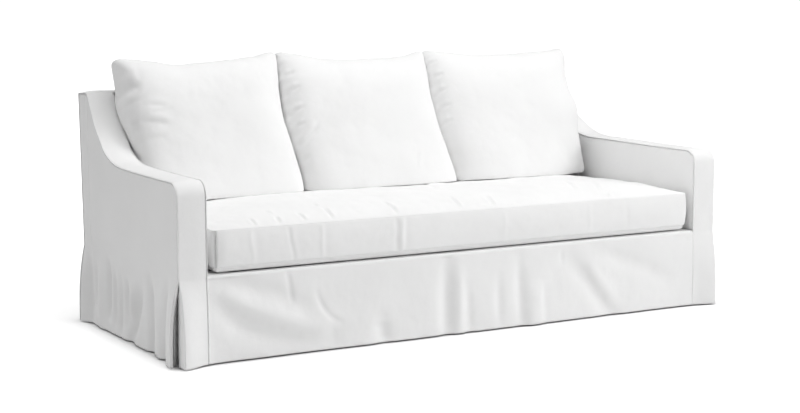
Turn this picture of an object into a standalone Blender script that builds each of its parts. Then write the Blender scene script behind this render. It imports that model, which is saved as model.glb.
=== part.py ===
"""Fitted slipcover set for a three-seat slope-arm sofa.

The cover is hollow: it is a suit of cut panels that hangs over a sofa frame
(the frame is not part of it).  On it lie the slipcovered bench seat cushion
and the three slipcovered back pillows.

Axes: +X to the sofa's left-hand side as seen from the front's right, so X is
the long way, -Y is the front, +Z is up.  The hem's lowest edge is Z = 0.
All lengths are in metres.
"""

import math
from collections import namedtuple

import bpy
import bmesh

# ------------------------------------------------------------ main sizes
WIDTH = 2.290            # outside arm to outside arm, above the skirt
DEPTH = 0.925            # front of the arms to the outside back, below the rake
ARM_WIDTH = 0.105        # width of the band that runs over each arm
DECK_HEIGHT = 0.298      # seat platform
BACK_HEIGHT = 0.860      # top of the back
BACK_RAKE = 0.150        # how far the back's top leans past its foot
BACK_TOP_DEPTH = 0.109   # thickness of the back at its top
LEAN = 0.043             # how far each side leans in at the back's top
ARM_ROUND = 0.050        # radius of the rounded front of each arm
PLEAT_TOP = 0.289        # head of the corner kick pleats

CLOTH = 0.0020           # cloth thickness
GAP = 0.0003             # play between neighbouring pieces
DECK_EDGE = 0.012        # radius of the platform's front edge

FRONT = -DEPTH / 2
BACK = DEPTH / 2
SIDE = WIDTH / 2
INNER = SIDE - ARM_WIDTH                       # plane of the inside arms
IB_FOOT_Y, IB_TOP_Y = 0.264, BACK + BACK_RAKE - BACK_TOP_DEPTH

# ------------------------------------------------------------ arm outline
# The top line of each arm, from its rounded front to the back: distance from
# the front, and height.  The cloth sits differently on the two arms.
Station = namedtuple("Station", "behind_front height")
ARM_TOP = {
    "L": [Station(0.050, 0.614), Station(0.250, 0.613), Station(0.410, 0.613),
          Station(0.510, 0.614), Station(0.581, 0.617), Station(0.630, 0.623),
          Station(0.669, 0.632), Station(0.735, 0.657), Station(0.794, 0.698),
          Station(0.865, 0.752), Station(0.932, 0.824), Station(0.9650, 0.8572)],
    "R": [Station(0.050, 0.615), Station(0.224, 0.616), Station(0.386, 0.618),
          Station(0.541, 0.621), Station(0.687, 0.624), Station(0.762, 0.639),
          Station(0.821, 0.668), Station(0.881, 0.703), Station(0.909, 0.740),
          Station(0.930, 0.786), Station(0.947, 0.823), Station(0.9650, 0.8572)],
}

# ------------------------------------------------------------ hanging folds
# Each fold is a soft ridge (+) or trough (-) along a bent line on its panel:
# start, bend and end as (along the panel, height), half width and depth.
Fold = namedtuple("Fold", "start bend end half_width depth")

# along = X on the front skirt
FRONT_FOLDS = [
    Fold((-1.03, 0.285), (-0.88, 0.26), (-0.68, 0.165), 0.034, -0.009),
    Fold((-1.00, 0.235), (-0.90, 0.17), (-0.62, 0.070), 0.034, 0.011),
    Fold((-1.01, 0.205), (-0.90, 0.04), (-0.58, 0.045), 0.040, -0.017),
    Fold((-0.37, 0.080), (-0.37, 0.04), (-0.36, 0.000), 0.030, -0.012),
    Fold((-0.107, 0.268), (-0.104, 0.12), (-0.103, -0.02), 0.028, -0.020),
    Fold((-0.058, 0.264), (-0.048, 0.12), (-0.050, -0.02), 0.026, 0.012),
    Fold((-0.014, 0.170), (-0.006, 0.08), (-0.004, -0.02), 0.020, -0.007),
    Fold((0.121, 0.190), (0.125, 0.10), (0.128, 0.02), 0.020, -0.007),
    Fold((0.209, 0.256), (0.220, 0.13), (0.227, -0.02), 0.024, -0.010),
    Fold((0.322, 0.150), (0.328, 0.08), (0.332, -0.02), 0.020, -0.006),
    Fold((0.290, 0.170), (0.285, 0.06), (0.285, -0.02), 0.060, 0.016),
    Fold((0.443, 0.235), (0.530, 0.14), (0.650, 0.000), 0.034, -0.014),
    Fold((0.520, 0.215), (0.575, 0.13), (0.660, 0.040), 0.030, 0.009),
    Fold((0.555, 0.255), (0.760, 0.20), (0.900, 0.120), 0.034, -0.009),
]
# along = distance behind the front edge on the outside arms
SIDE_FOLDS = {
    "L": [
        Fold((0.098, 0.260), (0.120, 0.14), (0.112, -0.02), 0.026, -0.014),
        Fold((0.180, 0.200), (0.180, 0.10), (0.165, -0.02), 0.030, 0.007),
        Fold((0.262, 0.260), (0.246, 0.15), (0.262, -0.02), 0.030, -0.012),
        Fold((0.345, 0.215), (0.385, 0.12), (0.460, 0.000), 0.036, -0.013),
        Fold((0.480, 0.190), (0.482, 0.15), (0.484, 0.090), 0.018, -0.005),
        Fold((0.540, 0.180), (0.545, 0.11), (0.550, 0.020), 0.018, -0.006),
        Fold((0.600, 0.210), (0.604, 0.13), (0.610, 0.050), 0.018, -0.006),
        Fold((0.660, 0.260), (0.664, 0.17), (0.670, 0.080), 0.020, -0.007),
        Fold((0.730, 0.240), (0.735, 0.12), (0.740, 0.000), 0.040, 0.005),
        Fold((0.858, 0.262), (0.856, 0.15), (0.844, 0.020), 0.032, -0.010),
    ],
    "R": [
        Fold((0.110, 0.255), (0.130, 0.12), (0.120, -0.02), 0.028, -0.012),
        Fold((0.230, 0.230), (0.240, 0.10), (0.255, -0.02), 0.032, -0.010),
        Fold((0.330, 0.210), (0.325, 0.10), (0.320, -0.02), 0.034, 0.006),
        Fold((0.430, 0.240), (0.420, 0.12), (0.400, -0.02), 0.030, -0.010),
        Fold((0.560, 0.190), (0.570, 0.10), (0.590, -0.02), 0.026, -0.008),
        Fold((0.700, 0.250), (0.690, 0.12), (0.670, -0.02), 0.030, -0.009),
        Fold((0.860, 0.270), (0.855, 0.15), (0.845, 0.000), 0.034, -0.010),
    ],
}
# along = X on the outside back
BACK_FOLDS = [
    Fold((-0.980, 0.270), (-0.960, 0.14), (-0.950, -0.02), 0.036, -0.011),
    Fold((-0.720, 0.220), (-0.700, 0.12), (-0.690, -0.02), 0.036, -0.009),
    Fold((-0.430, 0.250), (-0.440, 0.12), (-0.470, -0.02), 0.040, -0.011),
    Fold((-0.180, 0.190), (-0.180, 0.10), (-0.170, -0.02), 0.040, 0.008),
    Fold((0.090, 0.260), (0.080, 0.12), (0.060, -0.02), 0.038, -0.012),
    Fold((0.380, 0.210), (0.400, 0.12), (0.430, -0.02), 0.038, -0.009),
    Fold((0.700, 0.240), (0.690, 0.12), (0.670, -0.02), 0.038, -0.010),
    Fold((0.970, 0.270), (0.950, 0.14), (0.940, -0.02), 0.036, -0.011),
]

# How far the corner pleats flare at the hem: sideways (or to the rear), how
# far along the panel that flare reaches, and how square its shoulder is.
Flare = namedtuple("Flare", "out reach square")
SIDE_FLARE = {"L": (Flare(0.028, 0.096, 4), Flare(0.024, 0.070, 2)),
              "R": (Flare(0.020, 0.080, 3), Flare(0.034, 0.070, 2))}
FRONT_FLARE = (Flare(0.045, 0.076, 2), Flare(0.030, 0.075, 2))
BACK_FLARE = (Flare(0.022, 0.080, 2), Flare(0.046, 0.080, 2))

# ------------------------------------------------------------ cushions
SEAT_SEAM_LOW, SEAT_SEAM_HIGH, SEAT_CROWN = 0.320, 0.446, 0.492
SEAT_HALF_LENGTH, SEAT_FRONT, SEAT_REAR = 1.014, FRONT + 0.001, 0.2600
Pillow = namedtuple("Pillow", "left right sag")
PILLOWS = {"L": Pillow(-1.031, -0.3515, 0.030),
           "C": Pillow(-0.3495, 0.3245, 0.036),
           "R": Pillow(0.3265, 1.034, 0.026)}
PILLOW_FOOT_Y, PILLOW_FOOT_Z = 0.240, 0.474
PILLOW_HEAD_Y, PILLOW_HEAD_Z = 0.454, 0.992
PILLOW_FRONT_BULGE, PILLOW_BACK_BULGE = 0.142, 0.092

# ------------------------------------------------------------ cloth colours
WHITE = (0.83, 0.83, 0.82, 1.0)
CREAM = (0.80, 0.80, 0.79, 1.0)


# ============================================================ helpers
def clear_scene():
    for obj in list(bpy.data.objects):
        bpy.data.objects.remove(obj, do_unlink=True)


def cloth_material(name, colour, roughness):
    mat = bpy.data.materials.new(name)
    mat.use_nodes = True
    bsdf = mat.node_tree.nodes["Principled BSDF"]
    bsdf.inputs["Base Color"].default_value = colour
    bsdf.inputs["Roughness"].default_value = roughness
    bsdf.inputs["Metallic"].default_value = 0.0
    return mat


def add_object(name, bm, mat):
    mesh = bpy.data.meshes.new(name)
    bm.to_mesh(mesh)
    bm.free()
    mesh.materials.append(mat)
    mesh.shade_smooth()
    obj = bpy.data.objects.new(name, mesh)
    bpy.context.scene.collection.objects.link(obj)
    obj.parent = ROOT
    return obj


def cloth_panel(name, grid, mat, flip=False):
    """A single sheet through a grid of face-side points, given its thickness
    inwards by Solidify.  Triangles keep both faces of the cloth parallel."""
    bm = bmesh.new()
    rows = [[bm.verts.new(p) for p in row] for row in grid]
    for i in range(len(rows) - 1):
        for j in range(len(rows[0]) - 1):
            a, b, c, d = rows[i][j], rows[i + 1][j], rows[i + 1][j + 1], rows[i][j + 1]
            for tri in ((a, b, c), (a, c, d)):
                bm.faces.new(tri[::-1] if flip else tri)
    obj = add_object(name, bm, mat)
    solid = obj.modifiers.new("Cloth thickness", "SOLIDIFY")
    solid.thickness = CLOTH
    solid.offset = -1.0
    solid.use_rim = True
    solid.use_even_offset = True
    return obj


def lerp(a, b, t):
    return a + (b - a) * t


def arc(n, centre, radius, start, stop):
    """n + 1 points of an arc in the (behind_front, height) plane."""
    return [(centre[0] + radius * math.cos(lerp(start, stop, k / n)),
             centre[1] + radius * math.sin(lerp(start, stop, k / n)))
            for k in range(n + 1)]


def arm_outline(side, round_steps=4):
    """Rounded front, then the sloping top, as (behind_front, height)."""
    top = ARM_TOP[side]
    crown = top[0].height
    front = arc(round_steps, (ARM_ROUND, crown - ARM_ROUND), ARM_ROUND, math.pi, math.pi / 2)
    return front[:-1] + [tuple(s) for s in top]


def outline_height(outline, behind):
    """Height of the arm's top line at a distance behind the front."""
    if behind <= outline[0][0]:
        return outline[0][1]
    for (y0, z0), (y1, z1) in zip(outline, outline[1:]):
        if behind <= y1:
            return lerp(z0, z1, (behind - y0) / (y1 - y0))
    return outline[-1][1]


def up_back(z):
    """0 up to the pleats' heads, then rising to 1 at the back's top."""
    return max(0.0, (z - PLEAT_TOP) / (BACK_HEIGHT - PLEAT_TOP))


def rake(z):
    """How far back the raked rear stands at a height."""
    return BACK_RAKE * up_back(z)


def lean(behind, z):
    """How far the sides lean in at a place behind the front and a height."""
    return LEAN * up_back(z) * behind / (DEPTH + rake(z))


def opening(z):
    """0 at the pleat's head and 1 at the hem: opens at once, then hangs."""
    t = min(1.0, max(0.0, (PLEAT_TOP - z) / PLEAT_TOP))
    return 1 - (1 - t) ** 3


def fold_offset(folds, along, z):
    """Sum of the soft ridges and troughs at one place on a panel."""
    total = 0.0
    for fold in folds:
        best, where = 1e9, 0.0
        for k in range(13):
            t = k / 12
            p = [lerp(lerp(fold.start[i], fold.bend[i], t),
                      lerp(fold.bend[i], fold.end[i], t), t) for i in (0, 1)]
            gap = (along - p[0]) ** 2 + (z - p[1]) ** 2
            if gap < best:
                best, where = gap, t
        swell = min(1.0, 0.35 + 2.2 * where) * min(1.0, 0.5 + 2.5 * (1 - where))
        total += fold.depth * swell * math.exp(-best / fold.half_width ** 2)
    return total


def flare_offset(pair, from_first, from_second, z):
    first, second = pair
    return opening(z) * (
        first.out * math.exp(-abs(from_first / first.reach) ** first.square)
        + second.out * math.exp(-abs(from_second / second.reach) ** second.square))


def front_y(x, z):
    """The front skirt's face, and the front of the arm bands below the pleat."""
    out = flare_offset(FRONT_FLARE, x + SIDE, SIDE - x, z)
    if abs(x) < INNER + 0.02:
        out += fold_offset(FRONT_FOLDS, x, z)
    return FRONT - out


def side_out(side, behind, z):
    """How far an outside arm stands out past the frame's side."""
    out = flare_offset(SIDE_FLARE[side], behind, DEPTH + rake(z) - behind, z)
    return out + fold_offset(SIDE_FOLDS[side], behind, z) - lean(behind, z)


def back_y(x, z):
    out = flare_offset(BACK_FLARE, x + SIDE, SIDE - x, z)
    return BACK + rake(z) + out + fold_offset(BACK_FOLDS, x, z)


def inside_back_y(z):
    return lerp(IB_FOOT_Y, IB_TOP_Y, (z - DECK_HEIGHT) / (BACK_HEIGHT - DECK_HEIGHT))


def spread(a, b, n):
    return [lerp(a, b, k / n) for k in range(n + 1)]


SKIRT_LEVELS = [0.0, 0.040, 0.085, 0.135, 0.185, 0.235, 0.268, PLEAT_TOP]
SIGN = {"L": -1, "R": 1}


# ============================================================ the panels
def outside_arm(side, mat):
    """One piece from the arm's top line down to the hem."""
    s = SIGN[side]
    outline = arm_outline(side)
    stations = [y for y, _ in outline[:4]] + [0.050, 0.085, 0.125, 0.165, 0.205, 0.250,
                0.295, 0.345, 0.395, 0.450, 0.500, 0.550, 0.605, 0.669, 0.735, 0.794,
                0.865, 0.909, 0.932, outline[-1][0], 1.020, DEPTH + BACK_RAKE]
    grid = []
    for station in stations:
        if station > outline[-1][0]:
            top = lerp(outline[-1][1], BACK_HEIGHT - 0.001,
                       (station - outline[-1][0]) / (stations[-1] - outline[-1][0]))
        else:
            top = outline_height(outline, station)
        share = station / (DEPTH + rake(top)) if station < stations[-1] else 1.0
        levels = SKIRT_LEVELS + [lerp(PLEAT_TOP, top, k) for k in (0.3, 0.62, 1.0)]
        column = []
        for z in levels:
            behind = share * (DEPTH + rake(z))
            forward = -0.010 * opening(z) * math.exp(-(share * DEPTH / 0.03) ** 2)
            column.append((s * (SIDE + side_out(side, behind, z)), FRONT + behind + forward, z))
        grid.append(column)
    cloth_panel(f"outside_arm_{side}", grid, mat, flip=(side == "L"))


def arm_band(side, mat):
    """One strip: up the arm's front from the hem, round it and along the top."""
    s = SIGN[side]
    outline = arm_outline(side)
    rows = [(0.0, z) for z in SKIRT_LEVELS + [0.360, 0.470]] + outline
    outer, inner = SIDE - CLOTH - GAP, INNER + CLOTH + GAP
    reach = outline[-1][0]
    grid = []
    for k, (y, z) in enumerate(rows):
        row = []
        for t in (0.0, 0.22, 0.5, 0.78, 1.0):
            x = s * (lerp(outer, inner, t) - lean(y, z))
            if z <= PLEAT_TOP:
                # the outer edge is the pleat's front lip
                row.append((x, front_y(x, z), z))
                continue
            crown = 0.004 * math.sin(math.pi * t) * min(1.0, y / ARM_ROUND, (reach - y) / 0.08)
            row.append((x, FRONT + y, z + crown))
        grid.append(row)
    cloth_panel(f"arm_band_{side}", grid, mat, flip=(side == "L"))


def inside_arm(side, mat):
    """From the platform up to the band, between the front and the raked
    inside back, whose slope its rear edge follows."""
    s = SIGN[side]
    outline = arm_outline(side)
    foot, reach = DECK_HEIGHT + 0.0006, outline[-1][0]
    foot_reach = IB_FOOT_Y - FRONT - 0.002
    columns = sorted([y for y, _ in outline[:-1] if not 0.70 < y < 0.75]
                     + [foot_reach, 0.752, reach - 0.004])
    grid = []
    for y in columns:
        low = max(foot, lerp(foot, BACK_HEIGHT - 0.004, (y - foot_reach) / (reach - foot_reach)))
        top = outline_height(outline, y)
        heights = [lerp(low, top, t) for t in (0.0, 0.5, 1.0)]
        grid.append([(s * (INNER - lean(y, z)), FRONT + y, z) for z in heights])
    cloth_panel(f"inside_arm_{side}", grid, mat, flip=(side == "R"))


def front_skirt(mat):
    """From the platform's front edge to the hem, between the two arm bands."""
    edge = INNER + CLOTH - 0.00005
    columns = spread(-edge, edge, 50)
    edge_arc = [(DECK_EDGE * (1 - math.cos(a)), DECK_HEIGHT - DECK_EDGE * (1 - math.sin(a)))
                for a in (0.0, math.pi / 4, math.pi / 2)]
    grid = []
    for x in columns:
        column = [(x, front_y(x, z), z) for z in SKIRT_LEVELS[:-1]]
        for in_, z in edge_arc:
            column.append((x, FRONT + in_, z))
        grid.append(column)
    cloth_panel("front_skirt", grid, mat)


def deck(mat):
    """The platform cloth under the seat cushion."""
    edge = INNER - GAP - 0.0002
    ys = spread(FRONT + DECK_EDGE + 0.0014, IB_FOOT_Y - 0.001, 4)
    grid = [[(x, y, DECK_HEIGHT) for y in ys] for x in spread(-edge, edge, 8)]
    cloth_panel("deck", grid, mat)


def inside_back(mat):
    zs = spread(DECK_HEIGHT + 0.0006, BACK_HEIGHT - CLOTH - GAP, 3)
    edges = [INNER - GAP - 0.0002 - lean(inside_back_y(z) - FRONT, z) for z in zs]
    grid = [[(edge * k, inside_back_y(z), z) for edge, z in zip(edges, zs)]
            for k in spread(-1, 1, 8)]
    cloth_panel("inside_back", grid, mat)


def back_top(mat):
    """The strip over the back's top, with a slight crown."""
    ys = spread(IB_TOP_Y + 0.0003, BACK + BACK_RAKE, 4)
    edges = [SIDE - CLOTH - GAP - lean(y - FRONT, BACK_HEIGHT) for y in ys]
    grid = []
    for across in spread(-1, 1, 12):
        row = []
        for k, (y, edge) in enumerate(zip(ys, edges)):
            row.append((edge * across, y, BACK_HEIGHT + (0.003 if 0 < k < 4 else 0.0)))
        grid.append(row)
    cloth_panel("back_top", grid, mat)


def outside_back(mat):
    zs = SKIRT_LEVELS + [0.480, 0.670, BACK_HEIGHT - CLOTH - GAP]
    edges = [SIDE - CLOTH - GAP - lean(DEPTH + rake(z), z) for z in zs]
    grid = [[(edge * k, back_y(edge * k, z), z) for edge, z in zip(edges, zs)]
            for k in spread(-1, 1, 36)]
    cloth_panel("outside_back", grid, mat, flip=True)


def pleat_insert(end, side, mat):
    """The underlay of a corner's inverted pleat: it wraps the corner behind
    the two panels that open in front of it."""
    s = SIGN[side]
    head = PLEAT_TOP - 0.001
    inset = 0.009
    grid = []
    for z in spread(0.0, head, 5):
        row = []
        for y in (0.105, 0.080, 0.055):
            if end == "front":
                behind = y
                row.append((s * (SIDE + side_out(side, behind, z) - inset), FRONT + y, z))
            else:
                behind = DEPTH - y
                row.append((s * (SIDE + side_out(side, behind, z) - inset), FRONT + behind, z))
        tuck = 0.012 + 0.012 * opening(z)
        if end == "front":
            row.append((s * (SIDE - tuck - 0.004), FRONT + 0.028, z))
            row.append((s * (SIDE - 0.030), FRONT + tuck + 0.002, z))
        else:
            row.append((s * (SIDE - tuck - 0.004), BACK - 0.028, z))
            row.append((s * (SIDE - 0.030), BACK - tuck - 0.002, z))
        for d in (0.055, 0.078, 0.096):
            x = s * (SIDE - d)
            y = front_y(x, z) + inset if end == "front" else back_y(x, z) - inset
            row.append((x, y, z))
        grid.append(row)
    flip = (side == "L") != (end == "back")
    cloth_panel(f"pleat_{end}_{side}", grid, mat, flip=flip)


# ============================================================ the cushions
def grid_position(n, k):
    """Spacing that crowds towards both edges."""
    return -math.cos(math.pi * k / n) * 0.45 + (2 * k / n - 1) * 0.55


def seat_crown(u, v):
    return (1 - abs(u) ** 6) * (1 - abs(v) ** 3) ** 0.8


def seat_top_z(u, v):
    return lerp(SEAT_SEAM_HIGH, SEAT_CROWN, seat_crown(u, v))


def seat_surface_z(x, y):
    """Height of the seat cushion's top under a point."""
    half_y = (SEAT_REAR - SEAT_FRONT) / 2
    v = (y - (SEAT_REAR + SEAT_FRONT) / 2) / half_y
    return seat_top_z(min(1.0, abs(x) / SEAT_HALF_LENGTH), min(1.0, max(-1.0, v)))


def seat_cushion(mat):
    """Bench cushion: a boxed slab with a crowned top, its sides bowed out
    between two seams, flat where it lies on the platform."""
    nx, ny = 18, 8
    half_y = (SEAT_REAR - SEAT_FRONT) / 2
    mid_y = (SEAT_REAR + SEAT_FRONT) / 2
    bm = bmesh.new()

    def place(u, v, z, out=0.0):
        x = (SEAT_HALF_LENGTH - 0.006 + out) * u * math.sqrt(1 - 0.022 * v * v * abs(u) ** 4)
        y = mid_y + (half_y - 0.006 + out) * v * math.sqrt(1 - 0.040 * v * v * abs(u) ** 12)
        return bm.verts.new((x, y, z))

    us = [grid_position(nx, k) for k in range(nx + 1)]
    vs = [grid_position(ny, k) for k in range(ny + 1)]
    top = [[place(u, v, seat_top_z(u, v)) for v in vs] for u in us]
    low = [[place(u, v, lerp(SEAT_SEAM_LOW, DECK_HEIGHT + 0.0005,
                             min(1.0, 2.2 * (1 - abs(u) ** 10) * (1 - abs(v) ** 5))))
            for v in vs] for u in us]
    rim = ([(i, 0) for i in range(nx)] + [(nx, j) for j in range(ny)]
           + [(i, ny) for i in range(nx, 0, -1)] + [(0, j) for j in range(ny, 0, -1)])
    middle = {(i, j): place(us[i], vs[j], (SEAT_SEAM_LOW + SEAT_SEAM_HIGH) / 2, 0.006)
              for i, j in rim}
    for i in range(nx):
        for j in range(ny):
            bm.faces.new((top[i][j], top[i + 1][j], top[i + 1][j + 1], top[i][j + 1]))
            bm.faces.new((low[i][j], low[i][j + 1], low[i + 1][j + 1], low[i + 1][j]))
    for a, b in zip(rim, rim[1:] + rim[:1]):
        bm.faces.new((low[a[0]][a[1]], low[b[0]][b[1]], middle[b], middle[a]))
        bm.faces.new((middle[a], middle[b], top[b[0]][b[1]], top[a[0]][a[1]]))
    bmesh.ops.triangulate(bm, faces=bm.faces[:], quad_method="FIXED")
    add_object("seat_cushion", bm, mat)


def rear_limit(z):
    """The furthest back a pillow may reach: just before the inside back, then
    over the back's top edge."""
    return inside_back_y(min(z, BACK_HEIGHT)) - 0.005 + max(0.0, z - BACK_HEIGHT - 0.030) * 1.4


def side_limit(y, z):
    """The furthest out a pillow may reach: just inside the arm, then over it."""
    return (INNER - 0.004 - lean(y - FRONT, min(z, BACK_HEIGHT))
            + max(0.0, z - BACK_HEIGHT - 0.020) * 0.6)


def back_pillow(key, mat):
    """Knife-edge pillow: pointed corners, sides drawn in between them, a sagging
    top edge, leaning on the inside back and pressed onto the seat."""
    pillow = PILLOWS[key]
    n = 10
    mid_x, half_x = (pillow.left + pillow.right) / 2, (pillow.right - pillow.left) / 2
    ts = [grid_position(n, k) for k in range(n + 1)]
    bm = bmesh.new()
    seam = {}

    def point(u, v, face):
        draw_in = 1 - 0.006 * (1 - v * v)
        x = mid_x + half_x * u * draw_in
        up = (v + 1) / 2
        head = 1 - pillow.sag / (PILLOW_HEAD_Z - PILLOW_FOOT_Z) * (1 - u * u) * up ** 3
        y = lerp(PILLOW_FOOT_Y, PILLOW_HEAD_Y, up * head)
        z = lerp(PILLOW_FOOT_Z, PILLOW_HEAD_Z, up * head)
        thick = ((1 - u ** 4) * (1 - v ** 4)) ** (0.36 if face > 0 else 0.60)
        if face > 0:
            thick *= PILLOW_FRONT_BULGE * (1.0 - 0.10 * v) * (0.76 + 0.24 * min(1.0, up / 0.28))
        else:
            thick *= PILLOW_BACK_BULGE * (1.0 - 0.20 * v)
        y -= face * thick * 0.924
        z += face * thick * 0.381
        y = min(y, rear_limit(z))
        room = side_limit(y, z)
        x = max(-room, min(room, x))
        return (x, y, max(z, seat_surface_z(x * 0.97, y) + 0.005))

    def vertex(i, j, face):
        if i in (0, n) or j in (0, n):
            if (i, j) not in seam:
                seam[i, j] = bm.verts.new(point(ts[i], ts[j], 0))
            return seam[i, j]
        return bm.verts.new(point(ts[i], ts[j], face))

    for face in (1, -1):
        grid = [[vertex(i, j, face) for j in range(n + 1)] for i in range(n + 1)]
        for i in range(n):
            for j in range(n):
                quad = (grid[i][j], grid[i + 1][j], grid[i + 1][j + 1], grid[i][j + 1])
                bm.faces.new(quad if face == 1 else quad[::-1])
    bmesh.ops.triangulate(bm, faces=bm.faces[:], quad_method="FIXED")
    add_object(f"pillow_{key}", bm, mat)


# ============================================================ assembly
clear_scene()
ROOT = bpy.data.objects.new("slipcover_set", None)
bpy.context.scene.collection.objects.link(ROOT)

cover_cloth = cloth_material("cover_cloth", WHITE, 0.9)
cushion_cloth = cloth_material("cushion_cloth", WHITE, 0.9)
inner_cloth = cloth_material("inner_cloth", CREAM, 0.92)

for side in ("L", "R"):
    outside_arm(side, cover_cloth)
    arm_band(side, cover_cloth)
    inside_arm(side, cover_cloth)
    pleat_insert("front", side, inner_cloth)
    pleat_insert("back", side, inner_cloth)
front_skirt(cover_cloth)
deck(inner_cloth)
inside_back(cover_cloth)
back_top(cover_cloth)
outside_back(cover_cloth)
seat_cushion(cushion_cloth)
for key in PILLOWS:
    back_pillow(key, cushion_cloth)

# The whole set stands with the middle of its footprint on the origin.
bpy.context.view_layer.update()
graph = bpy.context.evaluated_depsgraph_get()
low, high = [1e9] * 3, [-1e9] * 3
for obj in bpy.context.scene.objects:
    if obj.type == "MESH":
        for vert in obj.evaluated_get(graph).data.vertices:
            for axis in range(3):
                low[axis] = min(low[axis], vert.co[axis])
                high[axis] = max(high[axis], vert.co[axis])
ROOT.location = (-(low[0] + high[0]) / 2, -(low[1] + high[1]) / 2, -low[2])
bpy.context.view_layer.update()
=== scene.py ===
"""Looks of the fitted sofa slipcover set: every cut panel as a fine draped
sheet with its seams, rolled edges, pleats and folds, and the seat cushion and
back pillows as stuffed cloth.  Metres, +Z up, in the frame of the CAD model."""

import math

import bpy
import numpy as np
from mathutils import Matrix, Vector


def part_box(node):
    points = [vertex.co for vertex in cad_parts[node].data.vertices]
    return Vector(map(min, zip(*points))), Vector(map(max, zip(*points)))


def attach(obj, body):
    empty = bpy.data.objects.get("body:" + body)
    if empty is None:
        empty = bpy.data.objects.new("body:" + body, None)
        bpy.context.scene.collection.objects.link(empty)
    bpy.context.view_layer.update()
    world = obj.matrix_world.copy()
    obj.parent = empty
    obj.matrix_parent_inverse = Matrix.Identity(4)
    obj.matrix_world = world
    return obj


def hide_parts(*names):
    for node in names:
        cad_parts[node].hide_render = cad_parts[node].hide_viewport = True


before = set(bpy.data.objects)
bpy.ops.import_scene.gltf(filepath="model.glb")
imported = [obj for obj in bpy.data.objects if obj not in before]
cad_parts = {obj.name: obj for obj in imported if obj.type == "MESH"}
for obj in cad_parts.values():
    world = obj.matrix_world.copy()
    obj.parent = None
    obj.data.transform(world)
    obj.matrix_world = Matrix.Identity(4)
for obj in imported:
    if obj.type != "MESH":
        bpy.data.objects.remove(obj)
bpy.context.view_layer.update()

# ------------------------------------------------------------ main sizes
WIDTH, DEPTH = 2.290, 0.925
ARM_WIDTH = 0.105
DECK_HEIGHT, BACK_HEIGHT = 0.298, 0.860
BACK_RAKE, BACK_TOP_DEPTH, LEAN = 0.150, 0.109, 0.043
ARM_ROUND = 0.050
PLEAT_TOP = 0.289
CLOTH = 0.0018
DECK_EDGE = 0.012

FRONT, BACK = -DEPTH / 2, DEPTH / 2
SIDE = WIDTH / 2
INNER = SIDE - ARM_WIDTH
IB_FOOT_Y, IB_TOP_Y = 0.264, BACK + BACK_RAKE - BACK_TOP_DEPTH

SEAM_R = 0.0017                      # radius of a seamed edge's roll
CORNER_IN = SEAM_R * (1 + math.sqrt(2)) + 0.0001
FINE_R = 0.0010                      # the same where the arm's band meets its inside
FINE_IN = FINE_R * (1 + math.sqrt(2)) + 0.0001
LIP_R = 0.0042                       # radius of a pleat's folded edge
FLAT_R = 0.0008                      # roll of a seam between coplanar panels

ARM_TOP = {
    "L": [(0.050, 0.614), (0.250, 0.613), (0.410, 0.613), (0.510, 0.614), (0.581, 0.617),
          (0.630, 0.623), (0.669, 0.632), (0.735, 0.657), (0.794, 0.698), (0.865, 0.752),
          (0.932, 0.824), (0.9650, 0.8572)],
    "R": [(0.050, 0.615), (0.224, 0.616), (0.386, 0.618), (0.541, 0.621), (0.687, 0.624),
          (0.762, 0.639), (0.821, 0.668), (0.881, 0.703), (0.909, 0.740), (0.930, 0.786),
          (0.947, 0.823), (0.9650, 0.8572)],
}

# Each fold: start, bend and end as (along, height), half width, depth (+ out).
FRONT_FOLDS = [
    ((-0.747, 0.294), (-0.735, 0.24), (-0.725, 0.185), 0.009, -0.0042),
    ((-0.632, 0.206), (-0.606, 0.12), (-0.539, 0.092), 0.010, -0.0048),
    ((0.405, 0.268), (0.406, 0.245), (0.406, 0.222), 0.009, -0.0040),
    ((-1.03, 0.285), (-0.88, 0.26), (-0.68, 0.165), 0.034, -0.009),
    ((-1.00, 0.235), (-0.90, 0.17), (-0.62, 0.070), 0.034, 0.011),
    ((-1.01, 0.205), (-0.90, 0.04), (-0.58, 0.045), 0.040, -0.017),
    ((-0.37, 0.080), (-0.37, 0.04), (-0.36, 0.000), 0.030, -0.012),
    ((-0.107, 0.268), (-0.104, 0.12), (-0.103, -0.02), 0.030, -0.014),
    ((-0.058, 0.264), (-0.048, 0.12), (-0.050, -0.02), 0.024, 0.008),
    ((-0.014, 0.170), (-0.006, 0.08), (-0.004, -0.02), 0.020, -0.007),
    ((0.121, 0.190), (0.125, 0.10), (0.128, 0.02), 0.020, -0.007),
    ((0.209, 0.256), (0.220, 0.13), (0.227, -0.02), 0.024, -0.010),
    ((0.322, 0.150), (0.328, 0.08), (0.332, -0.02), 0.020, -0.006),
    ((0.290, 0.170), (0.285, 0.06), (0.285, -0.02), 0.060, 0.016),
    ((0.443, 0.235), (0.530, 0.14), (0.650, 0.000), 0.036, -0.011),
    ((0.520, 0.215), (0.575, 0.13), (0.660, 0.040), 0.030, 0.009),
    ((0.555, 0.255), (0.760, 0.20), (0.900, 0.120), 0.034, -0.009),
]
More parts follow.
